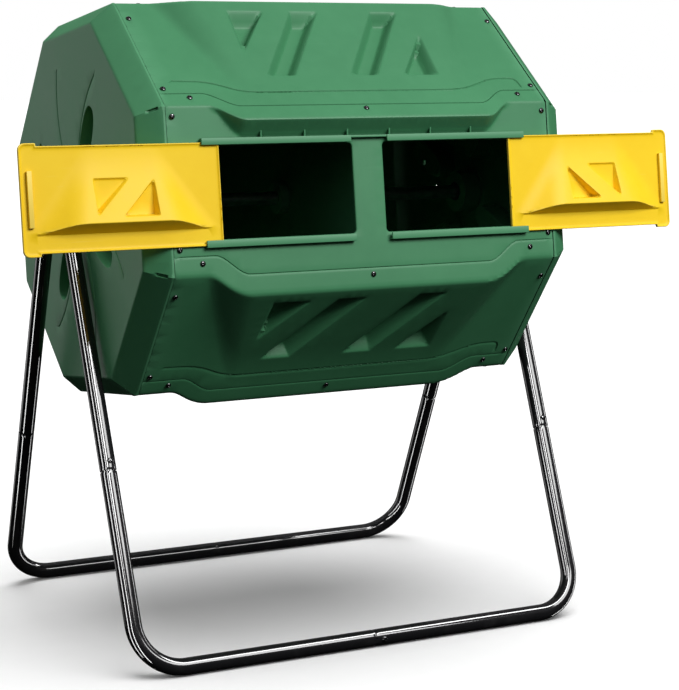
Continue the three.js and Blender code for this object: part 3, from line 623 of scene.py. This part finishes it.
# ---- End caps ----
# Each end of the drum is an eight-sided moulded dish: a flat face with a bevelled edge, four long oval
# grips, a swirl of eight grooves, drain slots in the bevel's front corners, and a few air holes.
CAP_FACE, CAP_FACE_APOTHEM, CAP_SHOULDER = 337.5, 251.6, 306.7
CAP_BEVEL = (CAP_FACE - CAP_SHOULDER) / (APOTHEM - CAP_FACE_APOTHEM)
CAP_COLLAR = (270.6, 281.0)
CAP_CORNER, FIRST_CORNER = math.cos(math.pi / 8), 22.5
CREASE_LINES = (-3.5, -1.7, -0.5, 0.5, 1.7, 3.5)
OVAL_ANGLES, OVAL_REACH, OVAL_HALF = (57, -33, -123, 147), 110.0, (49.0, 21.5)
OVAL_POWER, OVAL_DEPTH = 2.5, 27.0
OVAL_WALL = (
    (1.6, 0.0), (0.6, 0.005), (0.0, 0.03), (-0.5, 0.1), (-1.1, 0.4), (-1.8, 0.8), (-2.6, 0.96), (-4.2, 1.0),
)
SWIRL = ((206, 59), (180, 62.8), (156, 66), (124, 69.6), (92, 72))
SWIRL_GROOVE = ((2.2, 0.0), (1.3, 0.25), (0.5, 1.2), (0.0, 1.6), (-0.5, 1.2), (-1.3, 0.25), (-2.2, 0.0))
HUB_BORE, HUB_RING = 14.35, 34.0
AIR_HOLE, AIR_HOLES = 4.5, ((113, 151.5, 1.0), (172, 145.5, 0.0), (113, 173, 0.0))
SLOT_CORNERS, SLOT_SPAN, SLOT_HALF = (22.5, -22.5), (283.0, 295.5), 2.3


def at_angle(radius, degrees):
    """A point of the cap's face, with the angle measured from the front upwards."""
    return np.array([-radius * math.cos(math.radians(degrees)), radius * math.sin(math.radians(degrees))])


def apothem(y, z):
    """Distance of a point from the drum's axis, measured square to the nearest side."""
    sides = [y * math.cos(k * math.pi / 4) + z * math.sin(k * math.pi / 4) for k in range(8)]
    return np.max(sides, axis=0)


def cap_surface(y, z):
    bevel = CAP_FACE - CAP_BEVEL * (apothem(y, z) - CAP_FACE_APOTHEM)
    return least(np.full_like(y, CAP_FACE), bevel, 3)


def circle(centre, radius, count):
    around = np.arange(count) * 2 * math.pi / count
    return centre + radius * np.stack([np.cos(around), np.sin(around)], 1)


def oval(degrees, grow):
    """The outline of an oval grip, grown by a distance."""
    around = np.arange(72) * 2 * math.pi / 72
    c, n = np.cos(around), np.sin(around)
    out, side = at_angle(1, degrees), at_angle(1, degrees + 90)
    long = (OVAL_HALF[0] + grow) * np.sign(c) * np.abs(c) ** (2 / OVAL_POWER)
    wide = (OVAL_HALF[1] + grow) * np.sign(n) * np.abs(n) ** (2 / OVAL_POWER)
    return anticlockwise(out * OVAL_REACH + np.outer(long, out) + np.outer(wide, side))


def cap_dish():
    corners = [at_angle(APOTHEM / CAP_CORNER, FIRST_CORNER + 45 * k) for k in range(8)]
    outline, _ = rounded(anticlockwise(np.array(corners)), 0, 0.3, 1, 7.0)
    pattern = Pattern(cap_surface, outline)
    for k in range(8):
        degrees = FIRST_CORNER + 45 * k
        slotted = any(abs((degrees - corner + 180) % 360 - 180) < 1 for corner in SLOT_CORNERS)
        for a in (*(CAP_FACE_APOTHEM + beside for beside in CREASE_LINES), APOTHEM - 2):
            start, end = (at_angle(a / CAP_CORNER, d) for d in (degrees, degrees + 45))
            t = np.linspace(0, 1, 32)[:-1, None]
            pattern.line(start + (end - start) * t)
        low, high = (a / CAP_CORNER for a in (CAP_FACE_APOTHEM + 4.5, APOTHEM - 0.6))
        beside_slot = ((low, SLOT_SPAN[0] - 1.5), (SLOT_SPAN[1] + 1.5, high))
        for start, end in beside_slot if slotted else ((low, high),):
            pattern.line([at_angle(r, degrees) for r in np.linspace(start, end, 4)])
    for degrees in OVAL_ANGLES:
        for grow, sunk in OVAL_WALL:
            pattern.line(oval(degrees, grow), sunk=sunk, closed=True)
        pattern.pits += [oval(degrees, OVAL_WALL[0][0]), oval(degrees, OVAL_WALL[-1][0])]
    for k in range(8):
        line = smooth_line([at_angle(r, degrees + 45 * k) for r, degrees in SWIRL], 5.0, 12.0)
        pattern.band(line, SWIRL_GROOVE)
    for corner in SLOT_CORNERS:
        out, side = at_angle(1, corner), at_angle(1, corner + 90)
        halves = np.repeat((-1, 1), 2) * SLOT_HALF
        ends = [out * r + side * h for r, h in zip((*SLOT_SPAN, *SLOT_SPAN[::-1]), halves)]
        for inset, cut in ((-0.6, 0.0), (0.0, 0.6), (0.3, 5.0), (0.8, 5.0)):
            loop, _ = rounded(anticlockwise(np.array(ends)), inset, 1.2, 2, 5.0, (6, 1, 6, 1))
            pattern.line(loop, cut=cut, closed=True)
        pattern.pits.append(rounded(anticlockwise(np.array(ends)), -0.6, 1.2, 2, 5.0)[0])
    for radius, degrees, sunk in AIR_HOLES:
        for grow, cut in ((1.2, 0.0), (0.5, 0.2), (0.0, 0.8)):
            pattern.line(circle(at_angle(radius, degrees), AIR_HOLE + grow, 20), sunk, cut, closed=True)
        pattern.holes.append(circle(at_angle(radius, degrees), AIR_HOLE, 20))
    for radius, cut in ((HUB_RING + 5, 0), (HUB_RING + 3, 1.2), (HUB_RING - 3, 1.2), (HUB_RING - 5, 0)):
        pattern.line(circle((0, 0), radius, 60), cut=cut, closed=True)
    for radius, cut in ((HUB_BORE + 1.4, 0), (HUB_BORE + 0.5, 0.3), (HUB_BORE, 0.9)):
        pattern.line(circle((0, 0), radius, 40), cut=cut, closed=True)
    pattern.holes.append(circle((0, 0), HUB_BORE, 40))
    pattern.fill(5.0, 20.0, 2.0)
    return pattern.solid(WALL, lambda y, z, height: height - OVAL_DEPTH)


def collar(outer, inner, start, end):
    """A ring about the drum's axis between two outlines of equal count and two places along it."""
    stations = ((outer, start), (outer, end), (inner, end), (inner, start))
    return skinned([np.c_[loop, np.full(len(loop), x)] for loop, x in stations], closed=True)


octagon = [
    np.array([at_angle(a / CAP_CORNER, FIRST_CORNER + 45 * k) for k in range(8)])
    for a in (CAP_COLLAR[0], CAP_COLLAR[0] - WALL)
]
hub_tube = [circle((0, 0), radius, 48) for radius in (32.0, HUB_BORE)]
cap_points, cap_faces = together(
    cap_dish(),
    collar(*octagon, CAP_COLLAR[1], CAP_SHOULDER - 1),
    collar(*hub_tube, CAP_FACE - 34, CAP_FACE - 1.5),
)
for side_name, side in (("left", -1), ("right", 1)):
    node = "end_cap_" + side_name
    y, z, x = cap_points.T
    faces = cap_faces if side > 0 else [list(face)[::-1] for face in cap_faces]
    placed = on_drum(np.stack([side * x, y, z], 1))
    piece(node + "_moulding", placed, faces, "drum", "drum_green", drum_green, [node], 20)

# ---- Divider ----
# A flat moulded wall halfway along the drum keeps the two batches apart. A rim follows the inside of the
# panels, and a hub in its middle lets the axle through.
UNDER_FLANGE, UNDER_SOFFIT = (-117, -7.4), ((76, -6.5), (89, 2))
UNDER_PLATEAU = ((-75, -6), (88, 15.4))
DIVIDER_BORE = 10.7


def divider_outline(shrink):
    outline = []
    for k in range(8):
        for s, r in (UNDER_FLANGE, *(UNDER_SOFFIT if k == 0 else UNDER_PLATEAU)):
            turned = turned_about_axle([(0, -APOTHEM - r, s)], -k * math.pi / 4)[0]
            outline.append(turned[1:] * shrink)
    return anticlockwise(np.array(outline))


def divider_wall():
    outline, _ = rounded(divider_outline(0.995), 0, 6, 3, 9.0)
    pattern = Pattern(lambda y, z: np.full_like(y, WALL / 2), outline)
    for radius, cut in ((DIVIDER_BORE + 1.2, 0), (DIVIDER_BORE, 0.6)):
        pattern.line(circle((0, 0), radius, 40), cut=cut, closed=True)
    pattern.holes.append(circle((0, 0), DIVIDER_BORE, 40))
    pattern.fill(12.0, 24.0, 3.0)
    return pattern.solid(WALL)


rim_loops = [rounded(divider_outline(1.0), inset, 6, 3, 9.0, (2,) * 24)[0] for inset in (0.0, WALL)]
hub_loops = [circle((0, 0), radius, 40) for radius in (24.0, DIVIDER_BORE)]
points, faces = together(divider_wall(), collar(*rim_loops, -10, 10), collar(*hub_loops, -16, 16))
placed = on_drum(points[:, (2, 0, 1)])
piece("centre_divider_moulding", placed, faces, "drum", "drum_green", drum_green, ["centre_divider"])

# ---- Doors ----
# Two alike sliding doors moulded in yellow polypropylene: a thin plate with a raised edge, end tabs that
# stop it on the rails, a finger rib, and a wedge-shaped pull hood that is recessed with two triangles.
DOOR_MIDDLE, DOOR_HALF, DOOR_LOW, DOOR_TOP = 371.0, 141.0, -74.6, 65.0
DOOR_PLATE, DOOR_WALL, DOOR_RIM, TAB_WIDTH, TAB_RISE = 3.1, 2.5, 1.9, 24.0, 4.1
HOOD_RISE, HOOD_TOP, HOOD_TOP_HALF, HOOD_LIP, HOOD_LIP_HALF = 22.0, 38.0, 56.0, -38.6, 69.5
HOOD_FOOT, HOOD_FOOT_HALF, HOOD_SIDE = -50.5, 113.5, 0.5
HOOD_TRIANGLES = (((-43, -30), (4.5, -30), (-42.5, 17)), ((41.5, -27), (41.5, 20), (-6.5, 20)))
HOOD_FLOOR, TRIANGLE_LEAN = 5.4, 2.2
TRIANGLE_WALL = (
    (0, -2.2, 0.0), (0, -1.5, 0.01), (0, -1.1, 0.05), (0.2, -1.0, 0.25), (0.9, -1.0, 0.9),
    (1.0, -0.6, 0.98), (1.0, 0.6, 1.0),
)
DOOR_EDGE = (
    (0.35, 0.15 - DOOR_RIM), (0.9, -DOOR_RIM), (1.5, 0.1 - DOOR_RIM), (2.0, -1.3), (2.7, -0.7),
    (3.6, -0.35), (4.6, -0.12), (6.5, 0.0),
)
RIB = ((-41, 2.0), (33, 2.0), (33, 8.0), (-41, 8.0))


def hood_surface(u, s):
    """Height of a door's plate and hood above the front panel's face; u runs out from the door's middle."""
    share = (HOOD_TOP - s) / (HOOD_TOP - HOOD_LIP)
    face = HOOD_RISE * share
    half = HOOD_TOP_HALF + (HOOD_LIP_HALF - HOOD_TOP_HALF) * share
    flank = face - HOOD_SIDE * (np.abs(u) - half)
    under = (s - HOOD_FOOT) * HOOD_RISE / (HOOD_LIP - HOOD_FOOT)
    hood = least(most(least(face, flank, 7), np.zeros_like(u), 8), most(under, np.zeros_like(u), 1.5), 1.5)
    return DOOR_PLATE + np.maximum(hood, 0)


def sliding_door():
    tab, low, top = DOOR_HALF - TAB_WIDTH, DOOR_LOW - TAB_RISE, DOOR_TOP + TAB_RISE
    corners = [(-DOOR_HALF, DOOR_LOW), (tab, DOOR_LOW), (tab, low), (DOOR_HALF, low)]
    corners += [(DOOR_HALF, top), (tab, top), (tab, DOOR_TOP), (-DOOR_HALF, DOOR_TOP)]
    radii = (5.0, 1.6, 1.6, 8.5, 8.5, 1.6, 1.6, 5.0)
    outline, counts = rounded(corners, 0, radii, 6, 5.0)
    pattern = Pattern(hood_surface, outline)
    pattern.depths = [(0.0, 0.8 - DOOR_RIM)] * len(outline)
    for inset, cut in DOOR_EDGE:
        pattern.line(rounded(corners, inset, radii, 6, 5.0, counts)[0], cut=cut, closed=True)
    foot, lip = (HOOD_FOOT_HALF, HOOD_FOOT), (HOOD_LIP_HALF, HOOD_LIP)
    left_foot, left_lip = (-foot[0], foot[1]), (-lip[0], lip[1])
    for shift in (-1.2, -0.4, 0.4, 1.2):
        edge = smooth_line([left_foot, left_lip, lip, foot], 4.0, 2.0)
        pattern.line(edge[1:-1] + (0, shift))
        pattern.line(np.c_[np.linspace(3 - foot[0], foot[0] - 3, 56), np.full(56, HOOD_FOOT - 1.4 + shift)])
    for outline in HOOD_TRIANGLES:
        pattern.recess(np.array(outline, float), (TRIANGLE_LEAN,) * 3, TRIANGLE_WALL, 1.6)
    pattern.fill(2.6, 13.0, 1.2)
    plate = pattern.solid(DOOR_WALL, lambda u, s, height: np.full_like(u, HOOD_FLOOR))
    rib = bar(RIB, DOOR_HALF - 16, DOOR_HALF - 9)
    return together(plate, rib)


door_yellow = moulded_plastic(
    "moulded_yellow",
    (0.97, 0.66, 0.016, 1),
    (0.94, 0.62, 0.012, 1),
    # painted edge highlight colour, also the hair scratches' tint
    (1.0, 0.88, 0.30, 1),
    0.46,
    0.24,
)

door_points, door_faces = sliding_door()
for side_name, side in (("left", -1), ("right", 1)):
    node = "door_" + side_name
    u, s, r = door_points.T
    placed = on_face(np.stack([side * (DOOR_MIDDLE + u), s, r], 1), 0)
    shell = facing_out(placed, door_faces)
    piece(node + "_moulding", *shell, side_name + "_door", "door_yellow", door_yellow, [node])

# ---- Stand ----
# Four round steel tubes on each side of the drum, bent at the foot, pushed together over necked ends and
# held by a screw at each joint, gloss black powder coated, with black plastic plugs in the leg tops.
TUBE, TUBE_WALL, TUBE_STEPS = 12.0, 1.4, 40
FOOT_X, FOOT_Y, BEND = 356.0, 283.0, 66.0
LEGS = {
    "front_left": (-1, -1, 353.0),
    "front_right": (1, -1, 378.5),
    "rear_left": (-1, 1, 378.5),
    "rear_right": (1, 1, 353.0),
}
LEG_JOINT, ABOVE_AXLE, BAR_JOINT = 0.585, 24.0, 3.5
JOINT_GAP, NECK, SCREW_FROM_JOINT = 2.0, 34.0, 14.0
PLUG = (
    (0.0, 5.0), (2.5, 4.9), (5.0, 4.6), (7.5, 4.0), (9.6, 3.1), (11.0, 2.1), (11.8, 1.1),
    (12.0, 0.4), (11.9, 0.1), (10.2, 0.1), (10.2, -11.0), (0.0, -11.0),
)

tube_black = Finish("black_powder_coat", Specular_IOR_Level=0.5, Coat_Roughness=0.06)
orange_peel = tube_black.noise(260.0, 2.0, 0.4)
dust = tube_black.noise(38.0, 4.0, 0.6)
tube_black.covers(
    tube_black.mixed(dust.between(0.5, 0.8), (0.010, 0.010, 0.011, 1), (0.02, 0.02, 0.021, 1)),
    dust * 0.05 + 0.06,
    tube_black.bump(orange_peel, 0.06, 0.0001),
)
tube_black.feed(tube_black.surface.inputs["Coat Weight"], dust * 0.2 + 0.2)

black_plastic = moulded_plastic(
    "black_plastic",
    (0.02, 0.02, 0.021, 1),
    (0.016, 0.016, 0.017, 1),
    # painted edge highlight colour, also the hair scratches' tint
    (0.07, 0.07, 0.07, 1),
    0.42,
)


def unit(vector):
    return np.asarray(vector, float) / np.linalg.norm(vector)


def swept(path, side):
    """A shell along a path of (point, direction, radius); side is a direction that all its rings share."""
    angles = np.arange(TUBE_STEPS) * 2 * math.pi / TUBE_STEPS
    rings = []
    for point, ahead, radius in path:
        up = unit(np.cross(ahead, side))
        across = np.cross(up, unit(ahead))
        rings.append(point + radius * (np.outer(np.cos(angles), across) + np.outer(np.sin(angles), up)))
    return rings


def end_of(point, ahead, radius=TUBE):
    """Stations of a tube's slightly rounded end, from its rim inwards along ahead."""
    steps = ((0, 0.6), (0.25, 0.15), (0.8, 0), (4, 0))
    return [(point + ahead * back, ahead, radius - less) for back, less in steps]


def bent(start, corner, end):
    """Points and directions of a round bend between two straight runs."""
    back, on = unit(start - corner), unit(end - corner)
    angle = math.acos(back @ on)
    reach = BEND / math.tan(angle / 2)
    centre = corner + unit(back + on) * BEND / math.sin(angle / 2)
    first = corner + back * reach - centre
    turn = math.pi - angle
    square = unit(-back - first * (-back @ first) / (first @ first)) * BEND
    stations = []
    for k in range(25):
        c, n = math.cos(turn * k / 24), math.sin(turn * k / 24)
        stations.append((centre + first * c + square * n, unit(square * c - first * n), TUBE))
    return stations


def profile_shell(profile, base, axis, steps=36):
    """A round piece about an axis, from (radius, height) stations that start and end on the axis."""
    axis, across, up = frame_about(axis)
    angles = np.arange(steps) * 2 * math.pi / steps
    spokes = np.outer(np.cos(angles), across) + np.outer(np.sin(angles), up)
    return skinned([base + spokes * max(radius, 0.02) + axis * height for radius, height in profile])


tubes = []
for leg, (side, face, top_x) in LEGS.items():
    top = np.array([side * top_x, 0, 0]) + AXLE
    foot = np.array([side * FOOT_X, face * FOOT_Y + AXLE[1], TUBE])
    down = unit(foot - top)
    crown, joint = top - down * ABOVE_AXLE, top + (foot - top) * LEG_JOINT
    outward = unit((0, face * -down[2], face * down[1]))
    along = np.array([side * 1.0, 0, 0])
    square = unit(np.cross(along, down))

    low = joint - down * JOINT_GAP
    outer = end_of(crown, down) + end_of(low, -down)[::-1]
    outer = [(point, down, radius) for point, _, radius in outer]
    inner = [(low, down, TUBE - TUBE_WALL), (crown, down, TUBE - TUBE_WALL)]
    shell = skinned(swept(outer + inner, square), closed=True)
    node = "upper_leg_" + leg
    tubes.append(piece(node + "_tube", *shell, "stand", "tube_black", tube_black, [node]))

    bar_end = np.array([BAR_JOINT + (JOINT_GAP if side > 0 else 0), foot[1], TUBE])
    outer = end_of(bar_end, along) + bent(bar_end, foot, joint)
    outer += [(point, -down, radius) for point, _, radius in end_of(joint, down)[::-1]]
    neck = TUBE - TUBE_WALL - 0.35
    outer += [(joint - down * 0.1, -down, neck), (joint - down * NECK, -down, neck)]
    inner = [(joint - down * NECK, -down, neck - TUBE_WALL), (joint + down, -down, neck - TUBE_WALL)]
    inner += [(point, ahead, neck - TUBE_WALL) for point, ahead, _ in bent(bar_end, foot, joint)[::-1]]
    inner.append((bar_end, along, neck - TUBE_WALL))
    if side < 0:
        inner[-1] = (bar_end - along * NECK, along, neck - TUBE_WALL)
        inner += [(bar_end - along * NECK, along, neck), (bar_end, along, neck)]
    shell = skinned(swept(outer + inner, square), closed=True)
    node = "lower_tube_" + leg
    tubes.append(piece(node + "_tube", *shell, "stand", "tube_black", tube_black, [node]))

    node = "leg_plug_" + leg
    shell = profile_shell(PLUG, crown, -down)
    piece(node + "_moulding", *shell, "stand", "black_plastic", black_plastic, [node])
    node = "leg_screw_" + leg
    base = joint - down * SCREW_FROM_JOINT + outward * (TUBE + 0.1)
    shell = screw(base, outward, 0.3 * top_x)
    piece(node + "_fastener", *shell, "stand", "dark_screw", dark_screw, [node])

for name, face in (("front", -1), ("rear", 1)):
    base = np.array([BAR_JOINT + SCREW_FROM_JOINT, face * (FOOT_Y + TUBE + 0.1) + AXLE[1], TUBE])
    node, shell = "bar_screw_" + name, screw(base, (0, face, 0), 0.9)
    piece(node + "_fastener", *shell, "stand", "dark_screw", dark_screw, [node])

# ---- Axle and bushes ----
# A zinc-plated steel tube runs through the drum. Hex bolts go through the legs and washers into threaded
# inserts in its ends, and flanged black plastic bushes in the end caps turn on it.
AXLE_RADIUS, AXLE_END, BUSH_HOLE = 10.0, 340.4, 10.35
WASHER = ((4.4, 390.85), (8.7, 390.85), (9.0, 391.1), (9.0, 392.2), (8.7, 392.45), (4.4, 392.45))
BUSH = (
    (BUSH_HOLE, 301.5), (13.6, 301.5), (14.0, 302.0), (14.0, 337.85), (19.6, 337.85),
    (20.0, 338.2), (20.0, 339.3), (19.5, 339.85), (10.9, 339.85), (BUSH_HOLE, 339.4),
)
INSERT = ((4.4, 314.5), (8.2, 314.5), (8.2, 339.2), (7.9, 339.5), (4.7, 339.5), (4.4, 339.2))
HEX_ACROSS, HEX_FROM, HEX_TO, SHANK_END = 7.5, 392.8, 398.1, 315.4
BOLT = (
    (3.6, SHANK_END), (4.0, SHANK_END + 0.5), (4.0, HEX_FROM), (6.5, HEX_FROM), (7.3, HEX_FROM + 0.2),
    (7.6, HEX_FROM + 0.6), (7.6, HEX_TO - 1.0), (7.1, HEX_TO - 0.3), (6.3, HEX_TO), (0.1, HEX_TO),
)
AXLE_TUBE = (
    (AXLE_RADIUS - 0.4, -AXLE_END), (AXLE_RADIUS, -AXLE_END + 0.4),
    (AXLE_RADIUS, AXLE_END - 0.4), (AXLE_RADIUS - 0.4, AXLE_END),
    (AXLE_RADIUS - 1.4, AXLE_END), (AXLE_RADIUS - 1.4, -AXLE_END),
)

zinc_steel = Finish("bright_zinc_plate", Metallic=1.0)
drawn = zinc_steel.node("Mapping", {}, {"Vector": zinc_steel.place, "Scale": (30.0, 600.0, 600.0)})
drawing = zinc_steel.node("TexNoise", {}, {"Vector": drawn, "Scale": 1.0, "Detail": 3.0})
blotch = zinc_steel.noise(70.0, 3.0)
zinc_steel.covers(
    zinc_steel.mixed(blotch.between(0.35, 0.65), (0.50, 0.51, 0.53, 1), (0.60, 0.61, 0.62, 1)),
    blotch * 0.15 + drawing * 0.15 + 0.2,
    zinc_steel.bump(drawing, 0.25, 0.0001),
)


def round_about_axle(profile, side, steps=48):
    """A ring about the axle from a closed profile of (radius, distance along)."""
    rings = [np.c_[np.full(steps, side * x), circle((0, 0), radius, steps)] for radius, x in profile]
    points, faces = skinned(rings, closed=True)
    return points + AXLE, faces


shell = round_about_axle(AXLE_TUBE, 1)
piece("axle_tube_steel", *shell, "stand", "zinc_steel", zinc_steel, ["axle_tube"])
for side_name, side in (("left", -1), ("right", 1)):
    for part, profile in (("insert", INSERT), ("washer", WASHER)):
        node = "axle_" + part + "_" + side_name
        piece(node + "_steel", *round_about_axle(profile, side), "stand", "zinc_steel", zinc_steel, [node])
    around = np.arange(48) * 2 * math.pi / 48
    from_flat = (around + math.pi / 6) % (math.pi / 3) - math.pi / 6
    hexagon = HEX_ACROSS * math.cos(math.pi / 6) / np.cos(from_flat)
    rings = []
    for limit, x in BOLT:
        radius = np.minimum(hexagon, limit)
        across, up = radius * np.cos(around), radius * np.sin(around)
        rings.append(AXLE + np.stack([np.full(48, side * x), across, up], 1))
    node = "axle_bolt_" + side_name
    piece(node + "_steel", *skinned(rings), "stand", "zinc_steel", zinc_steel, [node])
    rings = [np.c_[np.full(48, side * x), circle((0, 0), radius, 48)] for radius, x in BUSH]
    points, faces = skinned(rings, closed=True)
    node = "hub_bush_" + side_name
    piece(node + "_moulding", on_drum(points), faces, "drum", "black_plastic", black_plastic, [node])

# ---- Studio ----
# A white room: even light from above that fades towards the floor, a soft key light above the front, and
# narrow strip lights that draw long highlights on the tubes.
world = bpy.data.worlds.new("white_room")
bpy.context.scene.world = world


class Room(Finish):
    """The room's light, written like a finish."""

    def __init__(self, world):
        world.use_nodes = True
        self.tree = world.node_tree


room = Room(world)
height = room.node("SeparateXYZ", {}, {0: room.node("TexCoord", output="Generated")}, output="Z")
seen = room.node("LightPath", output="Is Camera Ray")
mirrored = room.node("LightPath", output="Is Glossy Ray")
overhead = height.between(0.0, 0.55) * 0.52 + 0.02
background = world.node_tree.nodes["Background"].inputs
background["Color"].default_value = (1, 1, 1, 1)
room.feed(background["Strength"], seen + (1.0 - seen) * overhead * (1.0 - mirrored * 0.7))

bpy.ops.mesh.primitive_plane_add(size=60, location=(0, 0, 0))
floor = bpy.context.object
floor.name = "studio_floor"
floor.visible_diffuse = floor.visible_glossy = False
paper = Finish("white_paper", Specular_IOR_Level=0.1)
fibre = paper.noise(30.0)
paper.covers(
    paper.mixed(fibre, (0.93, 0.93, 0.93, 1), (0.95, 0.95, 0.95, 1)),
    fibre * 0.1 + 0.8,
    paper.bump(fibre, 0.02, 0.0002),
)
floor.data.materials.append(paper.material)


def studio_light(kind, name, place, aim, power, **settings):
    """A light that faces a point."""
    light = bpy.data.objects.new(name, bpy.data.lights.new(name, kind))
    light.data.energy = power
    for setting, value in settings.items():
        setattr(light.data, setting, value)
    light.location = place
    light.rotation_euler = (Vector(place) - Vector(aim)).to_track_quat("Z", "Y").to_euler()
    bpy.context.scene.collection.objects.link(light)
    return light


def reaches(light, state, *objects):
    """Lets a light reach only some objects, or everything but those."""
    group = bpy.data.collections.new(light.name + "_receivers")
    for number, receiver in enumerate(objects):
        group.objects.link(receiver)
        group.collection_objects[number].light_linking.link_state = state
    light.light_linking.receiver_collection = group


for name, place, aim, power, width, length in (
    ("key_light", (1.1, -3.1, 2.9), (0, 0, 0.6), 138, 2.2, 1.6),
    ("side_light", (-1.9, 3.0, 0.5), (-0.3, 0, 0.5), 17, 2.0, 2.8),
    ("rear_light", (-0.7, 2.2, 3.2), (0, 0, 0.7), 85, 2.0, 1.5),
):
    light = studio_light("AREA", name, place, aim, power, shape="RECTANGLE", size=width, size_y=length)
    light.visible_glossy = name != "rear_light"
    reaches(light, "EXCLUDE", floor)
floor_light = studio_light("SUN", "floor_light", (0.45, -0.15, 3.0), (0, 0, 0), 2.8, angle=math.radians(60))
reaches(floor_light, "INCLUDE", floor)
for name, place, power, width, length in (
    ("left_strip", (-3.3, -0.2, 0.3), 210, 0.5, 7.0),
    ("front_left_strip", (-2.5, -2.2, 0.6), 210, 0.3, 7.0),
    ("right_strip", (3.3, -0.2, 0.3), 90, 0.35, 7.0),
    ("top_strip", (1.0, -1.3, 2.5), 330, 8.0, 0.45),
):
    aim = (0, 0, place[2] if length > 1 else 0)
    strip = studio_light("AREA", name, place, aim, power, shape="RECTANGLE", size=width, size_y=length)
    strip.visible_diffuse = False
    reaches(strip, "INCLUDE", *tubes)

camera = bpy.data.objects.new("camera", bpy.data.cameras.new("camera"))
bpy.context.scene.collection.objects.link(camera)
camera.location = (-1.2953, -2.6818, 0.8546)
camera.rotation_euler = (math.radians(82.22), 0, math.radians(-26.69))
camera.data.lens = 101.47
camera.data.shift_x, camera.data.shift_y = 0.0337, -0.0408
bpy.context.scene.camera = camera
bpy.context.scene.view_settings.view_transform = "Standard"
